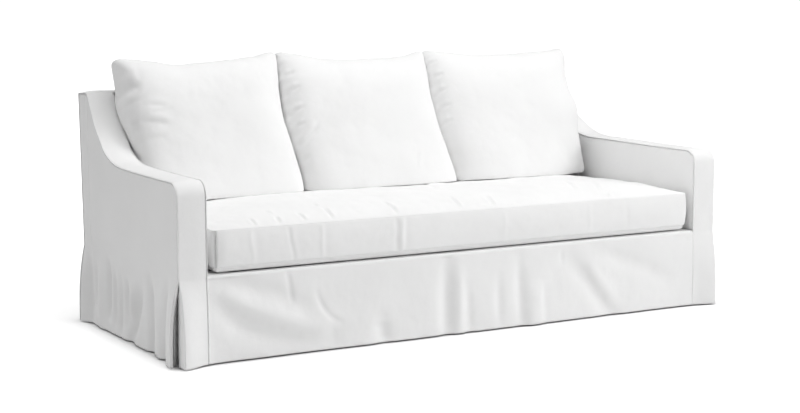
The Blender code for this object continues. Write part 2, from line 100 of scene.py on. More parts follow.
SIDE_FOLDS = {
    "L": [
        ((0.098, 0.260), (0.120, 0.14), (0.112, -0.02), 0.024, -0.0268),
        ((0.180, 0.210), (0.180, 0.10), (0.165, -0.02), 0.026, 0.0122),
        ((0.262, 0.262), (0.246, 0.15), (0.262, -0.02), 0.024, -0.0244),
        ((0.345, 0.225), (0.385, 0.12), (0.460, 0.000), 0.028, -0.0256),
        ((0.420, 0.215), (0.430, 0.15), (0.436, 0.080), 0.016, 0.0098),
        ((0.480, 0.220), (0.482, 0.15), (0.484, 0.070), 0.016, -0.0146),
        ((0.540, 0.210), (0.545, 0.11), (0.550, 0.020), 0.016, -0.0159),
        ((0.600, 0.225), (0.604, 0.13), (0.610, 0.040), 0.016, -0.0159),
        ((0.660, 0.262), (0.664, 0.17), (0.670, 0.060), 0.018, -0.0183),
        ((0.735, 0.255), (0.740, 0.14), (0.745, 0.000), 0.030, 0.0122),
        ((0.800, 0.240), (0.800, 0.16), (0.795, 0.080), 0.018, -0.0098),
        ((0.872, 0.268), (0.866, 0.15), (0.850, 0.010), 0.030, -0.0220),
    ],
    "R": [
        ((0.110, 0.255), (0.130, 0.12), (0.120, -0.02), 0.028, -0.012),
        ((0.230, 0.230), (0.240, 0.10), (0.255, -0.02), 0.032, -0.010),
        ((0.330, 0.210), (0.325, 0.10), (0.320, -0.02), 0.034, 0.006),
        ((0.430, 0.240), (0.420, 0.12), (0.400, -0.02), 0.030, -0.010),
        ((0.560, 0.190), (0.570, 0.10), (0.590, -0.02), 0.026, -0.008),
        ((0.700, 0.250), (0.690, 0.12), (0.670, -0.02), 0.030, -0.009),
        ((0.860, 0.270), (0.855, 0.15), (0.845, 0.000), 0.034, -0.010),
    ],
}
BACK_FOLDS = [
    ((-0.980, 0.270), (-0.960, 0.14), (-0.950, -0.02), 0.036, -0.011),
    ((-0.720, 0.220), (-0.700, 0.12), (-0.690, -0.02), 0.036, -0.009),
    ((-0.430, 0.250), (-0.440, 0.12), (-0.470, -0.02), 0.040, -0.011),
    ((-0.180, 0.190), (-0.180, 0.10), (-0.170, -0.02), 0.040, 0.008),
    ((0.090, 0.260), (0.080, 0.12), (0.060, -0.02), 0.038, -0.012),
    ((0.380, 0.210), (0.400, 0.12), (0.430, -0.02), 0.038, -0.009),
    ((0.700, 0.240), (0.690, 0.12), (0.670, -0.02), 0.038, -0.010),
    ((0.970, 0.270), (0.950, 0.14), (0.940, -0.02), 0.036, -0.011),
]
# (out, reach, how square) at the panel's first and second edge
SIDE_FLARE = {"L": ((0.028, 0.096, 4), (0.024, 0.070, 2)), "R": ((0.020, 0.080, 3), (0.034, 0.070, 2))}
FRONT_FLARE = ((0.045, 0.076, 2), (0.030, 0.075, 2))
BACK_FLARE = ((0.022, 0.080, 2), (0.046, 0.080, 2))

SEAT_LOW, SEAT_HIGH, SEAT_CROWN = 0.320, 0.446, 0.492
SEAT_HALF_X, SEAT_FRONT, SEAT_REAR = 1.014, FRONT + 0.001, 0.2600
# left and right seam, height of the two top corners, sag between them
PILLOWS = {"L": (-1.025, -0.3455, 0.978, 0.997, 0.034),
           "C": (-0.3435, 0.3305, 0.998, 0.987, 0.039),
           "R": (0.3325, 1.036, 0.992, 0.985, 0.027)}
# how the top seam sags from its left corner to its right
PILLOW_SAG = {"L": ((-1, 0), (-0.8, 0.14), (-0.56, 0.55), (-0.3, 1), (-0.05, 0.92), (0.17, 0.88), (0.47, 0.70), (0.67, 0.52), (0.88, 0.10), (1, 0)),
              "C": ((-1, 0), (-0.74, 0.40), (-0.42, 0.92), (-0.11, 1), (0.20, 0.87), (0.51, 0.74), (0.70, 0.54), (0.89, 0.12), (1, 0)),
              "R": ((-1, 0), (-0.66, 0.60), (-0.38, 1), (0.02, 0.98), (0.43, 0.66), (0.77, 0.36), (0.93, 0.05), (1, 0))}
# where the side seams lie, pressed by a neighbour or an arm: (height up the pillow, shift)
PILLOW_SEAM = [((0, 0.020), (0.33, 0.016), (0.42, 0.003), (0.52, -0.016), (0.68, -0.016), (0.80, -0.006), (1, 0)),
               ((0, -0.004), (0.15, -0.014), (0.35, -0.034), (0.60, -0.038), (0.85, -0.021), (1, 0)),
               ((0, 0.012), (0.10, 0.004), (0.20, -0.008), (0.35, -0.022), (0.60, -0.032), (0.85, -0.020), (1, 0)),
               ((0, -0.018), (0.10, -0.034), (0.22, -0.050), (0.34, -0.040), (0.45, -0.026), (0.61, -0.044), (0.75, -0.044), (0.88, -0.020), (1, 0))]
# how the left and right flanks round off: powers across and through
PILLOW_ROUND = {"L": ((0.68, 0.37), (0.60, 0.58)), "C": ((0.68, 0.47), (0.60, 0.58)), "R": ((0.66, 0.56), (0.50, 0.50))}
PILLOW_FRONT, PILLOW_BACK = {"L": 0.162, "C": 0.158, "R": 0.155}, 0.092
PILLOW_FIN = {"L": 0.0, "C": 0.004, "R": 0.003}                    # the seam's edge, standing out from the flank
# how far the left seam lies behind the pillow's middle plane
PILLOW_SET_BACK = {"L": 0.035, "C": 0.0, "R": 0.0}
FOOT_Y, FOOT_Z, HEAD_Y, HEAD_Z = 0.253, 0.474, 0.464, 0.992

low_deck, high_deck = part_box("deck")
SHIFT = np.array([(low_deck.x + high_deck.x) / 2, low_deck.y - (FRONT + DECK_EDGE + 0.0014),
                  high_deck.z - DECK_HEIGHT])


# ============================================================ noise and maths
def perlin(p, seed):
    """Gradient noise at points p (n, 3), about -1 to 1, the same each run."""
    rng = np.random.default_rng(seed)
    table = rng.permutation(256)
    table = np.concatenate([table, table, table])
    grads = rng.normal(size=(256, 3))
    grads /= np.linalg.norm(grads, axis=1)[:, None]
    cell = np.floor(p).astype(int)
    f = p - cell
    w = f * f * f * (f * (f * 6 - 15) + 10)
    cell &= 255
    total = 0.0
    for dx in (0, 1):
        for dy in (0, 1):
            for dz in (0, 1):
                h = table[table[table[cell[:, 0] + dx] + cell[:, 1] + dy] + cell[:, 2] + dz]
                d = (grads[h] * (f - np.array([dx, dy, dz]))).sum(1)
                weight = ((w[:, 0] if dx else 1 - w[:, 0]) * (w[:, 1] if dy else 1 - w[:, 1])
                          * (w[:, 2] if dz else 1 - w[:, 2]))
                total = total + weight * d
    return total * 1.6


def fbm(p, size, seed, octaves=3, gain=0.5):
    shape = p.shape[:-1]
    q = p.reshape(-1, 3) / np.asarray(size, float)
    total, amp = 0.0, 1.0
    for k in range(octaves):
        total = total + amp * perlin(q * 2 ** k + 17.3 * k, seed + k)
        amp *= gain
    return np.asarray(total).reshape(shape)


def lerp(a, b, t):
    return a + (b - a) * t


def smooth(t):
    t = np.clip(t, 0, 1)
    return t * t * (3 - 2 * t)


def unit(v):
    return v / np.maximum(np.linalg.norm(v, axis=-1, keepdims=True), 1e-12)


def up_back(z):
    """0 up to the pleats' heads, then rising to 1 at the back's top."""
    return np.maximum(0.0, (z - PLEAT_TOP) / (BACK_HEIGHT - PLEAT_TOP))


def rake(z):
    return BACK_RAKE * up_back(z)


def lean(behind, z):
    """How far the sides lean in."""
    return LEAN * up_back(z) * behind / (DEPTH + rake(z))


def opening(z):
    t = np.clip((PLEAT_TOP - z) / PLEAT_TOP, 0, 1)
    return 1 - (1 - t) ** 3


def near_curve(points, a, z, steps=16):
    """Squared distance to a bent line in a panel's plane, and how far along it."""
    (x0, z0), (x1, z1), (x2, z2) = points
    t = np.linspace(0, 1, steps + 1)
    px = lerp(lerp(x0, x1, t), lerp(x1, x2, t), t)
    pz = lerp(lerp(z0, z1, t), lerp(z1, z2, t), t)
    best = np.full(np.shape(a), 1e9)
    where = np.zeros(np.shape(a))
    for k in range(steps):
        dx, dz = px[k + 1] - px[k], pz[k + 1] - pz[k]
        u = np.clip(((a - px[k]) * dx + (z - pz[k]) * dz) / (dx * dx + dz * dz), 0, 1)
        d = (a - px[k] - u * dx) ** 2 + (z - pz[k] - u * dz) ** 2
        nearer = d < best
        best = np.where(nearer, d, best)
        where = np.where(nearer, (k + u) / steps, where)
    return best, where


def fold_offset(folds, along, z):
    total = np.zeros(np.shape(along))
    for start, bend, end, half, depth in folds:
        best, where = near_curve((start, bend, end), along, z)
        swell = np.minimum(1, 0.35 + 2.2 * where) * np.minimum(1, 0.5 + 2.5 * (1 - where))
        total += depth * swell * np.exp(-best / half ** 2)
    return total


def flare_offset(pair, d1, d2, z):
    (o1, r1, k1), (o2, r2, k2) = pair
    return opening(z) * (o1 * np.exp(-np.abs(d1 / r1) ** k1) + o2 * np.exp(-np.abs(d2 / r2) ** k2))


def front_y(x, z):
    out = flare_offset(FRONT_FLARE, x + SIDE, SIDE - x, z)
    blend = smooth((INNER + 0.03 - np.abs(x)) / 0.03)
    return FRONT - out - blend * fold_offset(FRONT_FOLDS, x, z)


def side_out(side, behind, z):
    return (flare_offset(SIDE_FLARE[side], behind, DEPTH + rake(z) - behind, z)
            + fold_offset(SIDE_FOLDS[side], behind, z) - lean(behind, z))


def back_y(x, z):
    out = flare_offset(BACK_FLARE, x + SIDE, SIDE - x, z)
    return BACK + rake(z) + out + fold_offset(BACK_FOLDS, x, z)


def inside_back_y(z):
    return lerp(IB_FOOT_Y, IB_TOP_Y, (z - DECK_HEIGHT) / (BACK_HEIGHT - DECK_HEIGHT))


def resample(line, step):
    """A smooth curve through table points, at even steps (Catmull-Rom)."""
    line = np.asarray(line, float)
    ext = np.vstack([2 * line[0] - line[1], line, 2 * line[-1] - line[-2]])
    dense = []
    for i in range(1, len(ext) - 2):
        p0, p1, p2, p3 = ext[i - 1:i + 3]
        d0, d1, d2 = (np.linalg.norm(b - a) ** 0.5 for a, b in ((p0, p1), (p1, p2), (p2, p3)))
        m1 = (p2 - p1) / d1 - (p2 - p0) / (d0 + d1) + (p1 - p0) / d0
        m2 = (p3 - p2) / d2 - (p3 - p1) / (d1 + d2) + (p2 - p1) / d1
        for t in np.linspace(0, 1, 24, endpoint=False):
            h00, h10 = 2 * t ** 3 - 3 * t ** 2 + 1, t ** 3 - 2 * t ** 2 + t
            h01, h11 = -2 * t ** 3 + 3 * t ** 2, t ** 3 - t ** 2
            dense.append(h00 * p1 + h10 * d1 * m1 + h01 * p2 + h11 * d1 * m2)
    dense.append(line[-1])
    dense = np.array(dense)
    s = np.concatenate([[0], np.cumsum(np.linalg.norm(np.diff(dense, axis=0), axis=1))])
    n = max(2, int(round(s[-1] / step)))
    at = np.linspace(0, s[-1], n + 1)
    return np.column_stack([np.interp(at, s, dense[:, 0]), np.interp(at, s, dense[:, 1])])


def arm_line(side, step=0.006):
    """The arm's outline from the foot of its rounded front to the back, as
    (behind_front, height), with outward normals in that plane."""
    n = 14
    ang = np.linspace(math.pi, math.pi / 2, n + 1)
    front = np.column_stack([ARM_ROUND + ARM_ROUND * np.cos(ang),
                             ARM_TOP[side][0][1] - ARM_ROUND + ARM_ROUND * np.sin(ang)])
    top = resample(ARM_TOP[side], step)
    line = np.vstack([front[:-1], top])
    t = unit(np.gradient(line, axis=0))
    t[0] = (0, 1)
    normal = np.column_stack([-t[:, 1], t[:, 0]])
    return line, normal


# ============================================================ mesh building
class Cloth:
    """Collects the points, flat-pattern coordinates and faces of one piece."""

    def __init__(self, name):
        self.name, self.points, self.flat, self.faces = name, [], [], []
        self.count = 0

    def add(self, points, flat):
        points = np.asarray(points, float)
        index = np.arange(points[..., 0].size).reshape(points.shape[:-1]) + self.count
        self.points.append(points.reshape(-1, 3))
        self.flat.append(np.asarray(flat, float).reshape(-1, 2))
        self.count += index.size
        return index

    def quads(self, index):
        a, b, c, d = index[:-1, :-1], index[1:, :-1], index[1:, 1:], index[:-1, 1:]
        self.faces.append(np.stack([a, b, c, d], -1).reshape(-1, 4))

    def strip(self, base, points, flat, toward, normal, flat_dir, r, angle, run, arc_steps=6, run_steps=3):
        """A rolled edge: from the base vertices, an arc of radius r that turns by
        angle away from the normal, then a straight run."""
        r, angle, run = (np.broadcast_to(np.asarray(v, float), base.shape) for v in (r, angle, run))
        toward = unit(toward - (toward * normal).sum(-1, keepdims=True) * normal)
        rows, rows_flat = [], []
        for k in range(1, arc_steps + 1):
            th = (angle * k / arc_steps)[:, None]
            rr = r[:, None]
            rows.append(points - rr * normal + rr * (normal * np.cos(th) + toward * np.sin(th)))
            rows_flat.append(flat + flat_dir * rr * th)
        th = angle[:, None]
        heading = -normal * np.sin(th) + toward * np.cos(th)
        tip, tip_flat = rows[-1], rows_flat[-1]
        for k in range(1, run_steps + 1):
            rows.append(tip + heading * (run * k / run_steps)[:, None])
            rows_flat.append(tip_flat + flat_dir * (run * k / run_steps)[:, None])
        index = self.add(np.array(rows), np.array(rows_flat))
        self.quads(np.vstack([base[None, :], index]))
        return index, rows[-1], heading

    def build(self, mat, outward, thickness=CLOTH):
        points = np.vstack(self.points) + SHIFT
        faces = np.vstack(self.faces)
        # a fan vertex repeats, which leaves a degenerate side: make it a triangle
        a, b, c = points[faces[:, 0]], points[faces[:, 1]], points[faces[:, 2]]
        normal = np.cross(b - a, c - a)
        if (normal @ np.asarray(outward, float)).sum() < 0:
            faces = faces[:, ::-1]
        polygons = []
        for f in faces.tolist():
            kept = [v for k, v in enumerate(f) if v != f[k - 1]]
            if len(kept) > 2:
                polygons.append(kept)
        mesh = bpy.data.meshes.new(self.name + "_cloth")
        mesh.from_pydata(points.tolist(), [], polygons)
        flat = np.vstack(self.flat)
        layer = mesh.uv_layers.new(name="cloth")
        loops = np.zeros(len(mesh.loops), np.int32)
        mesh.loops.foreach_get("vertex_index", loops)
        layer.data.foreach_set("uv", flat[loops].astype(np.float32).ravel())
        mesh.materials.append(mat)
        mesh.shade_smooth()
        mesh.update()
        obj = bpy.data.objects.new(self.name + "_cloth", mesh)
        bpy.context.scene.collection.objects.link(obj)
        if thickness:
            solid = obj.modifiers.new("Cloth thickness", "SOLIDIFY")
            solid.thickness, solid.offset, solid.use_rim = thickness, -1.0, True
        return obj


def grid_normals(points, outward):
    n = unit(np.cross(np.gradient(points, axis=0), np.gradient(points, axis=1)))
    if (n.reshape(-1, 3) @ np.asarray(outward, float)).sum() < 0:
        n = -n
    return n


# ============================================================ materials
def cloth_material(name, light, dark, seed):
    """Matt cotton canvas: a plain weave over slubby yarn, faint shade
    differences, and small soft creases, all from the cloth's own flat
    coordinates in metres."""
    mat = bpy.data.materials.new(name)
    mat.use_nodes = True
    nt = mat.node_tree
    nodes, link = nt.nodes, nt.links.new
    bsdf = nodes["Principled BSDF"]
    bsdf.inputs["Roughness"].default_value = 0.92
    bsdf.inputs["Specular IOR Level"].default_value = 0.25
    bsdf.inputs["Sheen Weight"].default_value = 0.12
    bsdf.inputs["Sheen Roughness"].default_value = 0.5
    uv = nodes.new("ShaderNodeUVMap")
    uv.uv_map = "cloth"
    split = nodes.new("ShaderNodeSeparateXYZ")
    link(uv.outputs[0], split.inputs[0])

    def maths(op, a, b=None):
        node = nodes.new("ShaderNodeMath")
        node.operation = op
        for k, v in enumerate((a, b)):
            if v is None:
                continue
            if isinstance(v, (int, float)):
                node.inputs[k].default_value = v
            else:
                link(v, node.inputs[k])
        return node.outputs[0]

    def noise(vector, scale, detail, rough=0.5):
        node = nodes.new("ShaderNodeTexNoise")
        node.inputs["Scale"].default_value = scale
        node.inputs["Detail"].default_value = detail
        node.inputs["Roughness"].default_value = rough
        link(vector, node.inputs["Vector"])
        return node.outputs["Fac"]

    def stretched(sx, sy):
        node = nodes.new("ShaderNodeMapping")
        node.inputs["Scale"].default_value = (sx, sy, 1)
        node.inputs["Location"].default_value = (seed * 1.7, seed * 0.9, 0)
        link(uv.outputs[0], node.inputs["Vector"])
        return node.outputs[0]

    # plain weave, 1.1 mm between yarns, over and under in turn
    wobble = noise(stretched(1, 1), 90, 2)
    warp = maths("SINE", maths("ADD", maths("MULTIPLY", split.outputs[0], 2 * math.pi / 0.0011), maths("MULTIPLY", wobble, 5.0)))
    weft = maths("SINE", maths("ADD", maths("MULTIPLY", split.outputs[1], 2 * math.pi / 0.0011), maths("MULTIPLY", wobble, 5.0)))
    weave = maths("MULTIPLY", warp, weft)
    slub_a = noise(stretched(900, 60), 1.0, 2)
    slub_b = noise(stretched(60, 900), 1.0, 2)
    slub = maths("ADD", slub_a, slub_b)
    soft = noise(stretched(1, 1), 26, 3, 0.55)

    bump1 = nodes.new("ShaderNodeBump")
    bump1.inputs["Strength"].default_value = 0.35
    bump1.inputs["Distance"].default_value = 0.0025
    link(soft, bump1.inputs["Height"])
    bump2 = nodes.new("ShaderNodeBump")
    bump2.inputs["Strength"].default_value = 0.25
    bump2.inputs["Distance"].default_value = 0.0003
    link(slub, bump2.inputs["Height"])
    link(bump1.outputs[0], bump2.inputs["Normal"])
    bump3 = nodes.new("ShaderNodeBump")
    bump3.inputs["Strength"].default_value = 0.20
    bump3.inputs["Distance"].default_value = 0.00012
    link(weave, bump3.inputs["Height"])
    link(bump2.outputs[0], bump3.inputs["Normal"])
    link(bump3.outputs[0], bsdf.inputs["Normal"])

    tone = nodes.new("ShaderNodeMix")
    tone.data_type = "RGBA"
    tone.inputs["A"].default_value = (*dark, 1)
    tone.inputs["B"].default_value = (*light, 1)
    spread = nodes.new("ShaderNodeMapRange")
    spread.inputs["From Min"].default_value = 0.75
    spread.inputs["From Max"].default_value = 1.35
    link(maths("ADD", maths("MULTIPLY", slub, 0.5), noise(stretched(1, 1), 5, 2)), spread.inputs["Value"])
    link(spread.outputs[0], tone.inputs["Factor"])
    link(tone.outputs["Result"], bsdf.inputs["Base Color"])
    rough = nodes.new("ShaderNodeMapRange")
    rough.inputs["To Min"].default_value = 0.86
    rough.inputs["To Max"].default_value = 0.97
    link(slub_a, rough.inputs["Value"])
    link(rough.outputs[0], bsdf.inputs["Roughness"])
    return mat


COVER = cloth_material("cover_cloth", (0.920, 0.920, 0.918), (0.885, 0.885, 0.883), 1)
CUSHION = cloth_material("cushion_cloth", (0.930, 0.930, 0.928), (0.895, 0.895, 0.893), 2)
# the same canvas painted a touch darker: painted shade for the deck and the pleat underlays, which lie in shade
SHADED_INSIDE = cloth_material("inner_cloth", (0.900, 0.900, 0.898), (0.860, 0.860, 0.858), 3)


def finish_sheet(obj, node):
    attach(obj, "root")
    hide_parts(node)


# ============================================================ the cover
SKIRT_ROWS = 46


def pucker(points, normals, distance, seed, size=0.022, depth=0.0007, reach=0.022):
    """Small pulls beside a seam."""
    wave = fbm(points, (size, size, size), seed, 2)
    return points + normals * (wave * depth * np.exp(-(distance / reach) ** 2))[..., None]


def arm_side(side, inner=False):
    """The outside arm down to the hem, or the inside arm down to the platform."""
    s = {"L": -1, "R": 1}[side]
    name = f"{'inside' if inner else 'outside'}_arm_{side}"
    line, normal = arm_line(side)
    corner_in = FINE_IN if inner else CORNER_IN
    inset = line - normal * corner_in
    keep = np.concatenate([[True], np.diff(np.maximum.accumulate(inset[:, 0])) > 1e-5])
    inset = inset[keep]
    step = 0.0072
    if inner:
        foot = DECK_HEIGHT + 0.0010
        foot_reach, reach = IB_FOOT_Y - FRONT - 0.002, line[-1][0]
        ys = np.concatenate([np.linspace(corner_in, 0.055, 9)[:-1],
                             np.arange(0.055, reach - 0.010, step), [reach - 0.008]])
        tops = np.interp(ys, inset[:, 0], inset[:, 1])
        lows = np.maximum(foot, lerp(foot, BACK_HEIGHT - 0.004, (ys - foot_reach) / (reach - foot_reach)))
        lows = np.minimum(lows, tops - 0.004)
        t = np.linspace(0, 1, 44)
        z = lows[:, None] + (tops - lows)[:, None] * t
        y = np.broadcast_to(ys[:, None], z.shape)
        p = np.stack([s * (INNER - lean(y, z)), FRONT + y, z], -1)
        out = (-s, 0, 0)
        wave = 0.0016 * fbm(p, (0.16, 0.16, 0.14), 51 + (s > 0), 2)
        fade = smooth((y - corner_in) / 0.03) * smooth((tops[:, None] - z) / 0.03)
        p[..., 0] += -s * wave * fade
    else:
        back_in = DEPTH - CORNER_IN
        ys = np.concatenate([np.linspace(0, 0.055, 11)[:-1], np.arange(0.055, 0.70, step),
                             np.arange(0.70, 0.84, 0.0050), np.linspace(0.84, back_in, 13)])
        seam_y = CORNER_IN + ys / back_in * (back_in - CORNER_IN)
        rear_top = BACK_HEIGHT - CORNER_IN - 0.006
        tops = np.full(ys.shape, 0.62)
        for _ in range(80):
            at = seam_y * (1 + rake(tops) / DEPTH)
            new = np.interp(at, inset[:, 0], inset[:, 1])
            rear = back_in * (1 + rake(rear_top) / DEPTH)
            after = at > inset[-1, 0]
            new = np.where(after, lerp(inset[-1, 1], rear_top, np.clip((at - inset[-1, 0]) / (rear - inset[-1, 0]), 0, 1)), new)
            tops = 0.5 * tops + 0.5 * new
        low = np.linspace(0, 1, SKIRT_ROWS + 1)[:-1] * PLEAT_TOP
        t = np.linspace(0, 1, 62)
        z = np.concatenate([np.broadcast_to(low, (len(ys), SKIRT_ROWS)),
                            PLEAT_TOP + (tops - PLEAT_TOP)[:, None] * t], 1)
        front_in = lerp(CORNER_IN, LIP_R, smooth(opening(z) * 3))
        y = front_in + (ys[:, None] / back_in) * (lerp(back_in, DEPTH - LIP_R, smooth(opening(z) * 3)) - front_in)
        behind = y * (1 + rake(z) / DEPTH)
        forward = 0.008 * opening(z) * np.exp(-(y / 0.03) ** 2)
        p = np.stack([s * (SIDE + side_out(side, behind, z)), FRONT + behind + forward, z], -1)
        out = (s, 0, 0)
        # the filled-out upper panel, and long soft unevenness
        upper = smooth((z - PLEAT_TOP) / 0.08) * smooth((tops[:, None] - z) / 0.05) * smooth(y / 0.05) * smooth((DEPTH - y) / 0.06)
        p[..., 0] += s * upper * (0.0015 + 0.0016 * fbm(p, (0.22, 0.22, 0.30), 31 + (s > 0), 2))
    cloth = Cloth(name)
    n = grid_normals(p, out)
    dist = np.minimum(np.abs(tops[:, None] - z), np.where(z > PLEAT_TOP, y, 1.0))
    p = pucker(p, n, dist, 71 + (s > 0) + 2 * inner)
    n = grid_normals(p, out)
    flat = np.stack([y, z], -1)
    index = cloth.add(p, flat)
    cloth.quads(index)

    # one boundary: up the front, along the top, down the rear
    rows = p.shape[1]
    forward = np.array([0, -1.0, 0])
    first = [(0, j) for j in range(0, rows)]
    top = [(i, rows - 1) for i in range(1, len(ys))]
    ids = first + top
    toward, flat_dir = [], []
    tangent = np.column_stack([np.gradient(ys), np.gradient(p[:, -1, 2])])
    tangent = unit(tangent)
    blend_front = smooth(ys / 0.05)
    for i, j in first:
        toward.append(forward)
        flat_dir.append((-1, 0))
    for i, j in top:
        up = np.array([0, -tangent[i][1], tangent[i][0]])
        toward.append(up)
        flat_dir.append((up[1], up[2]))
    if not inner:
        i = len(ys) - 1
        for k in range(1, 5):   # round the sharp rear corner
            a = math.pi / 2 * k / 4
            ids.append((i, rows - 1))
            up = np.array([0, math.sin(a), math.cos(a)])
            toward.append(up)
            flat_dir.append((up[1], up[2]))
        for j in range(rows - 2, -1, -1):
            ids.append((i, j))
            toward.append(np.array([0, 1.0, 0]))
            flat_dir.append((1, 0))
    ii, jj = np.array(ids).T
    base_z = z[ii, jj]
    open_ = opening(base_z) if not inner else np.zeros(len(ii))
    w = smooth(open_ * 3)
    radius = lerp(FINE_R if inner else SEAM_R, LIP_R, w)
    angle = np.radians(lerp(135.0, 166.0, w))
    run = 0.0030 + 0.030 * open_ ** 0.8
    cloth.strip(index[ii, jj], p[ii, jj], flat[ii, jj], np.array(toward), n[ii, jj],
                np.array(flat_dir, float), radius, angle, run)
    obj = cloth.build(COVER, out)
    if inner:
        finish_sheet(obj, name)
    else:
        finish_sheet(obj, name)
    return obj


def arm_band(side):
    s = {"L": -1, "R": 1}[side]
    line, normal = arm_line(side)
    low = np.linspace(0, PLEAT_TOP, SKIRT_ROWS + 1)[:-1]
    front = np.linspace(PLEAT_TOP, line[0][1], 46)[:-1]
    ys = np.concatenate([np.zeros(len(low) + len(front)), line[:, 0]])
    zs = np.concatenate([low, front, line[:, 1]])
    ny = np.concatenate([-np.ones(len(low) + len(front)), normal[:, 0]])
    nz = np.concatenate([np.zeros(len(low) + len(front)), normal[:, 1]])
    s_len = np.concatenate([[0], np.cumsum(np.hypot(np.diff(ys), np.diff(zs)))])
    across = 15
    t = 0.5 - 0.5 * np.cos(np.linspace(0, math.pi, across))
    t = 0.6 * t + 0.4 * np.linspace(0, 1, across)
    open_ = opening(zs) * (ys <= 1e-9)
    w = smooth(open_ * 3)
    below = smooth((DECK_HEIGHT + 0.004 - zs) / 0.008) * (ys <= 1e-9)
    outer = lerp(SIDE - CORNER_IN, SIDE - 0.0023 - LIP_R, w)
    inner = lerp(INNER + FINE_IN, INNER + 0.0023 + FLAT_R, below)
    x = s * (outer[:, None] + (inner - outer)[:, None] * t - lean(ys, zs)[:, None])
    z = np.broadcast_to(zs[:, None], x.shape).copy()
    is_low = (zs <= PLEAT_TOP + 1e-9) & (ys <= 1e-9)
    y = np.where(is_low[:, None], front_y(x, z), FRONT + ys[:, None])
    crown = np.sin(math.pi * t)[None, :] * (0.0012 + 0.0035 * np.clip(ys / ARM_ROUND, 0, 1) * np.clip((line[-1][0] - ys) / 0.08, 0, 1))[:, None]
    crown = crown * (1 - 0.8 * w)[:, None]
    y = y + ny[:, None] * crown
    z = z + nz[:, None] * crown
    p = np.stack([x, y, z], -1)
    soft = fbm(p, (0.09, 0.11, 0.11), 91 + (s > 0), 2) * 0.0011 * np.sin(math.pi * t)[None, :]
    p[..., 1] += ny[:, None] * soft
    p[..., 2] += nz[:, None] * soft
    n_guide = np.stack([np.zeros_like(x), np.broadcast_to(ny[:, None], x.shape), np.broadcast_to(nz[:, None], x.shape)], -1)
    n = unit(np.cross(np.gradient(p, axis=0), np.gradient(p, axis=1)))
    flipn = np.sign((n * n_guide).sum(-1, keepdims=True))
    n = n * flipn
    edge = np.minimum(t, 1 - t)[None, :] * ARM_WIDTH * np.ones_like(x)
    p = pucker(p, n, edge, 81 + (s > 0), depth=0.0005, reach=0.016)
    cloth = Cloth(f"arm_band_{side}")
    flat = np.stack([np.broadcast_to((t * ARM_WIDTH)[None, :], x.shape), np.broadcast_to(s_len[:, None], x.shape)], -1)
    index = cloth.add(p, flat)
    cloth.quads(index)
    # outer edge: seam above, pleat lip below
    cloth.strip(index[:, 0], p[:, 0], flat[:, 0], np.tile([s * 1.0, 0, 0], (len(zs), 1)), n[:, 0], np.array([-1.0, 0]),
                lerp(SEAM_R, LIP_R, w), np.radians(lerp(135, 94, w)), 0.0030 + 0.045 * open_ ** 0.8)
    # inner edge: seam to the inside arm above, flat seam to the skirt below
    cloth.strip(index[:, -1], p[:, -1], flat[:, -1], np.tile([-s * 1.0, 0, 0], (len(zs), 1)), n[:, -1], np.array([1.0, 0]),
                lerp(FINE_R, FLAT_R, below), np.radians(lerp(135, 90, below)), 0.0030)
    # the end at the back's top
    cloth.strip(index[-1], p[-1], flat[-1], np.tile([0, 0.62, 0.78], (across, 1)), n[-1], np.array([0, 1.0]),
                0.0012, math.radians(90), 0.0015)
    obj = cloth.build(COVER, (0, -1, 0.6))
    finish_sheet(obj, f"arm_band_{side}")
    return obj


def front_skirt():
    edge = INNER + 0.0019 - FLAT_R
    xs = np.linspace(-edge, edge, 322)
    zs = np.linspace(0, DECK_HEIGHT - DECK_EDGE, 48)
    ang = np.linspace(0, math.pi / 2, 7)[1:]
    x = np.broadcast_to(xs[:, None], (len(xs), len(zs) + len(ang)))
    z = np.concatenate([zs, DECK_HEIGHT - DECK_EDGE + DECK_EDGE * np.sin(ang)])
    z = np.broadcast_to(z[None, :], x.shape)
    y_low = front_y(x, np.minimum(z, PLEAT_TOP))
    y = np.where(np.arange(x.shape[1])[None, :] < len(zs), y_low,
                 FRONT + DECK_EDGE * (1 - np.cos(np.concatenate([np.zeros(len(zs)), ang])))[None, :])
    p = np.stack([x, y, z], -1)
    n = grid_normals(p, (0, -1, 0))
    soft = fbm(p, (0.10, 0.2, 0.12), 101, 3) * 0.0018 * smooth((DECK_HEIGHT - z) / 0.06) * smooth((edge - np.abs(x)) / 0.03)
    p = p + n * soft[..., None]
    p = pucker(p, n, np.minimum(edge - np.abs(x), 1.0), 103, depth=0.0004)
    n = grid_normals(p, (0, -1, 0))
    cloth = Cloth("front_skirt")
    flat = np.stack([x, z], -1)
    index = cloth.add(p, flat)
    cloth.quads(index)
    rows = p.shape[1]
    for i, sx in ((0, -1.0), (len(xs) - 1, 1.0)):
        cloth.strip(index[i], p[i], flat[i], np.tile([sx, 0, 0], (rows, 1)), n[i], np.array([sx, 0]),
                    FLAT_R, math.radians(90), 0.0025)
    cloth.strip(index[:, -1], p[:, -1], flat[:, -1], np.tile([0, 1.0, 0], (len(xs), 1)), n[:, -1], np.array([0, 1.0]),
                0.0010, math.radians(90), 0.0020, 4, 2)
    obj = cloth.build(COVER, (0, -1, 0.2))
    finish_sheet(obj, "front_skirt")


def deck():
    edge = INNER - 0.0005
    x, y = np.meshgrid(np.linspace(-edge, edge, 120), np.linspace(FRONT + DECK_EDGE + 0.0016, IB_FOOT_Y - 0.001, 36), indexing="ij")
    p = np.stack([x, y, np.full_like(x, DECK_HEIGHT)], -1)
    p[..., 2] -= np.abs(fbm(p, (0.2, 0.2, 0.2), 111, 2)) * 0.0008
    cloth = Cloth("deck")
    index = cloth.add(p, np.stack([x, y], -1))
    cloth.quads(index)
    # the deck in the darker cloth, its painted shade
    obj = cloth.build(SHADED_INSIDE, (0, 0, 1))
    finish_sheet(obj, "deck")


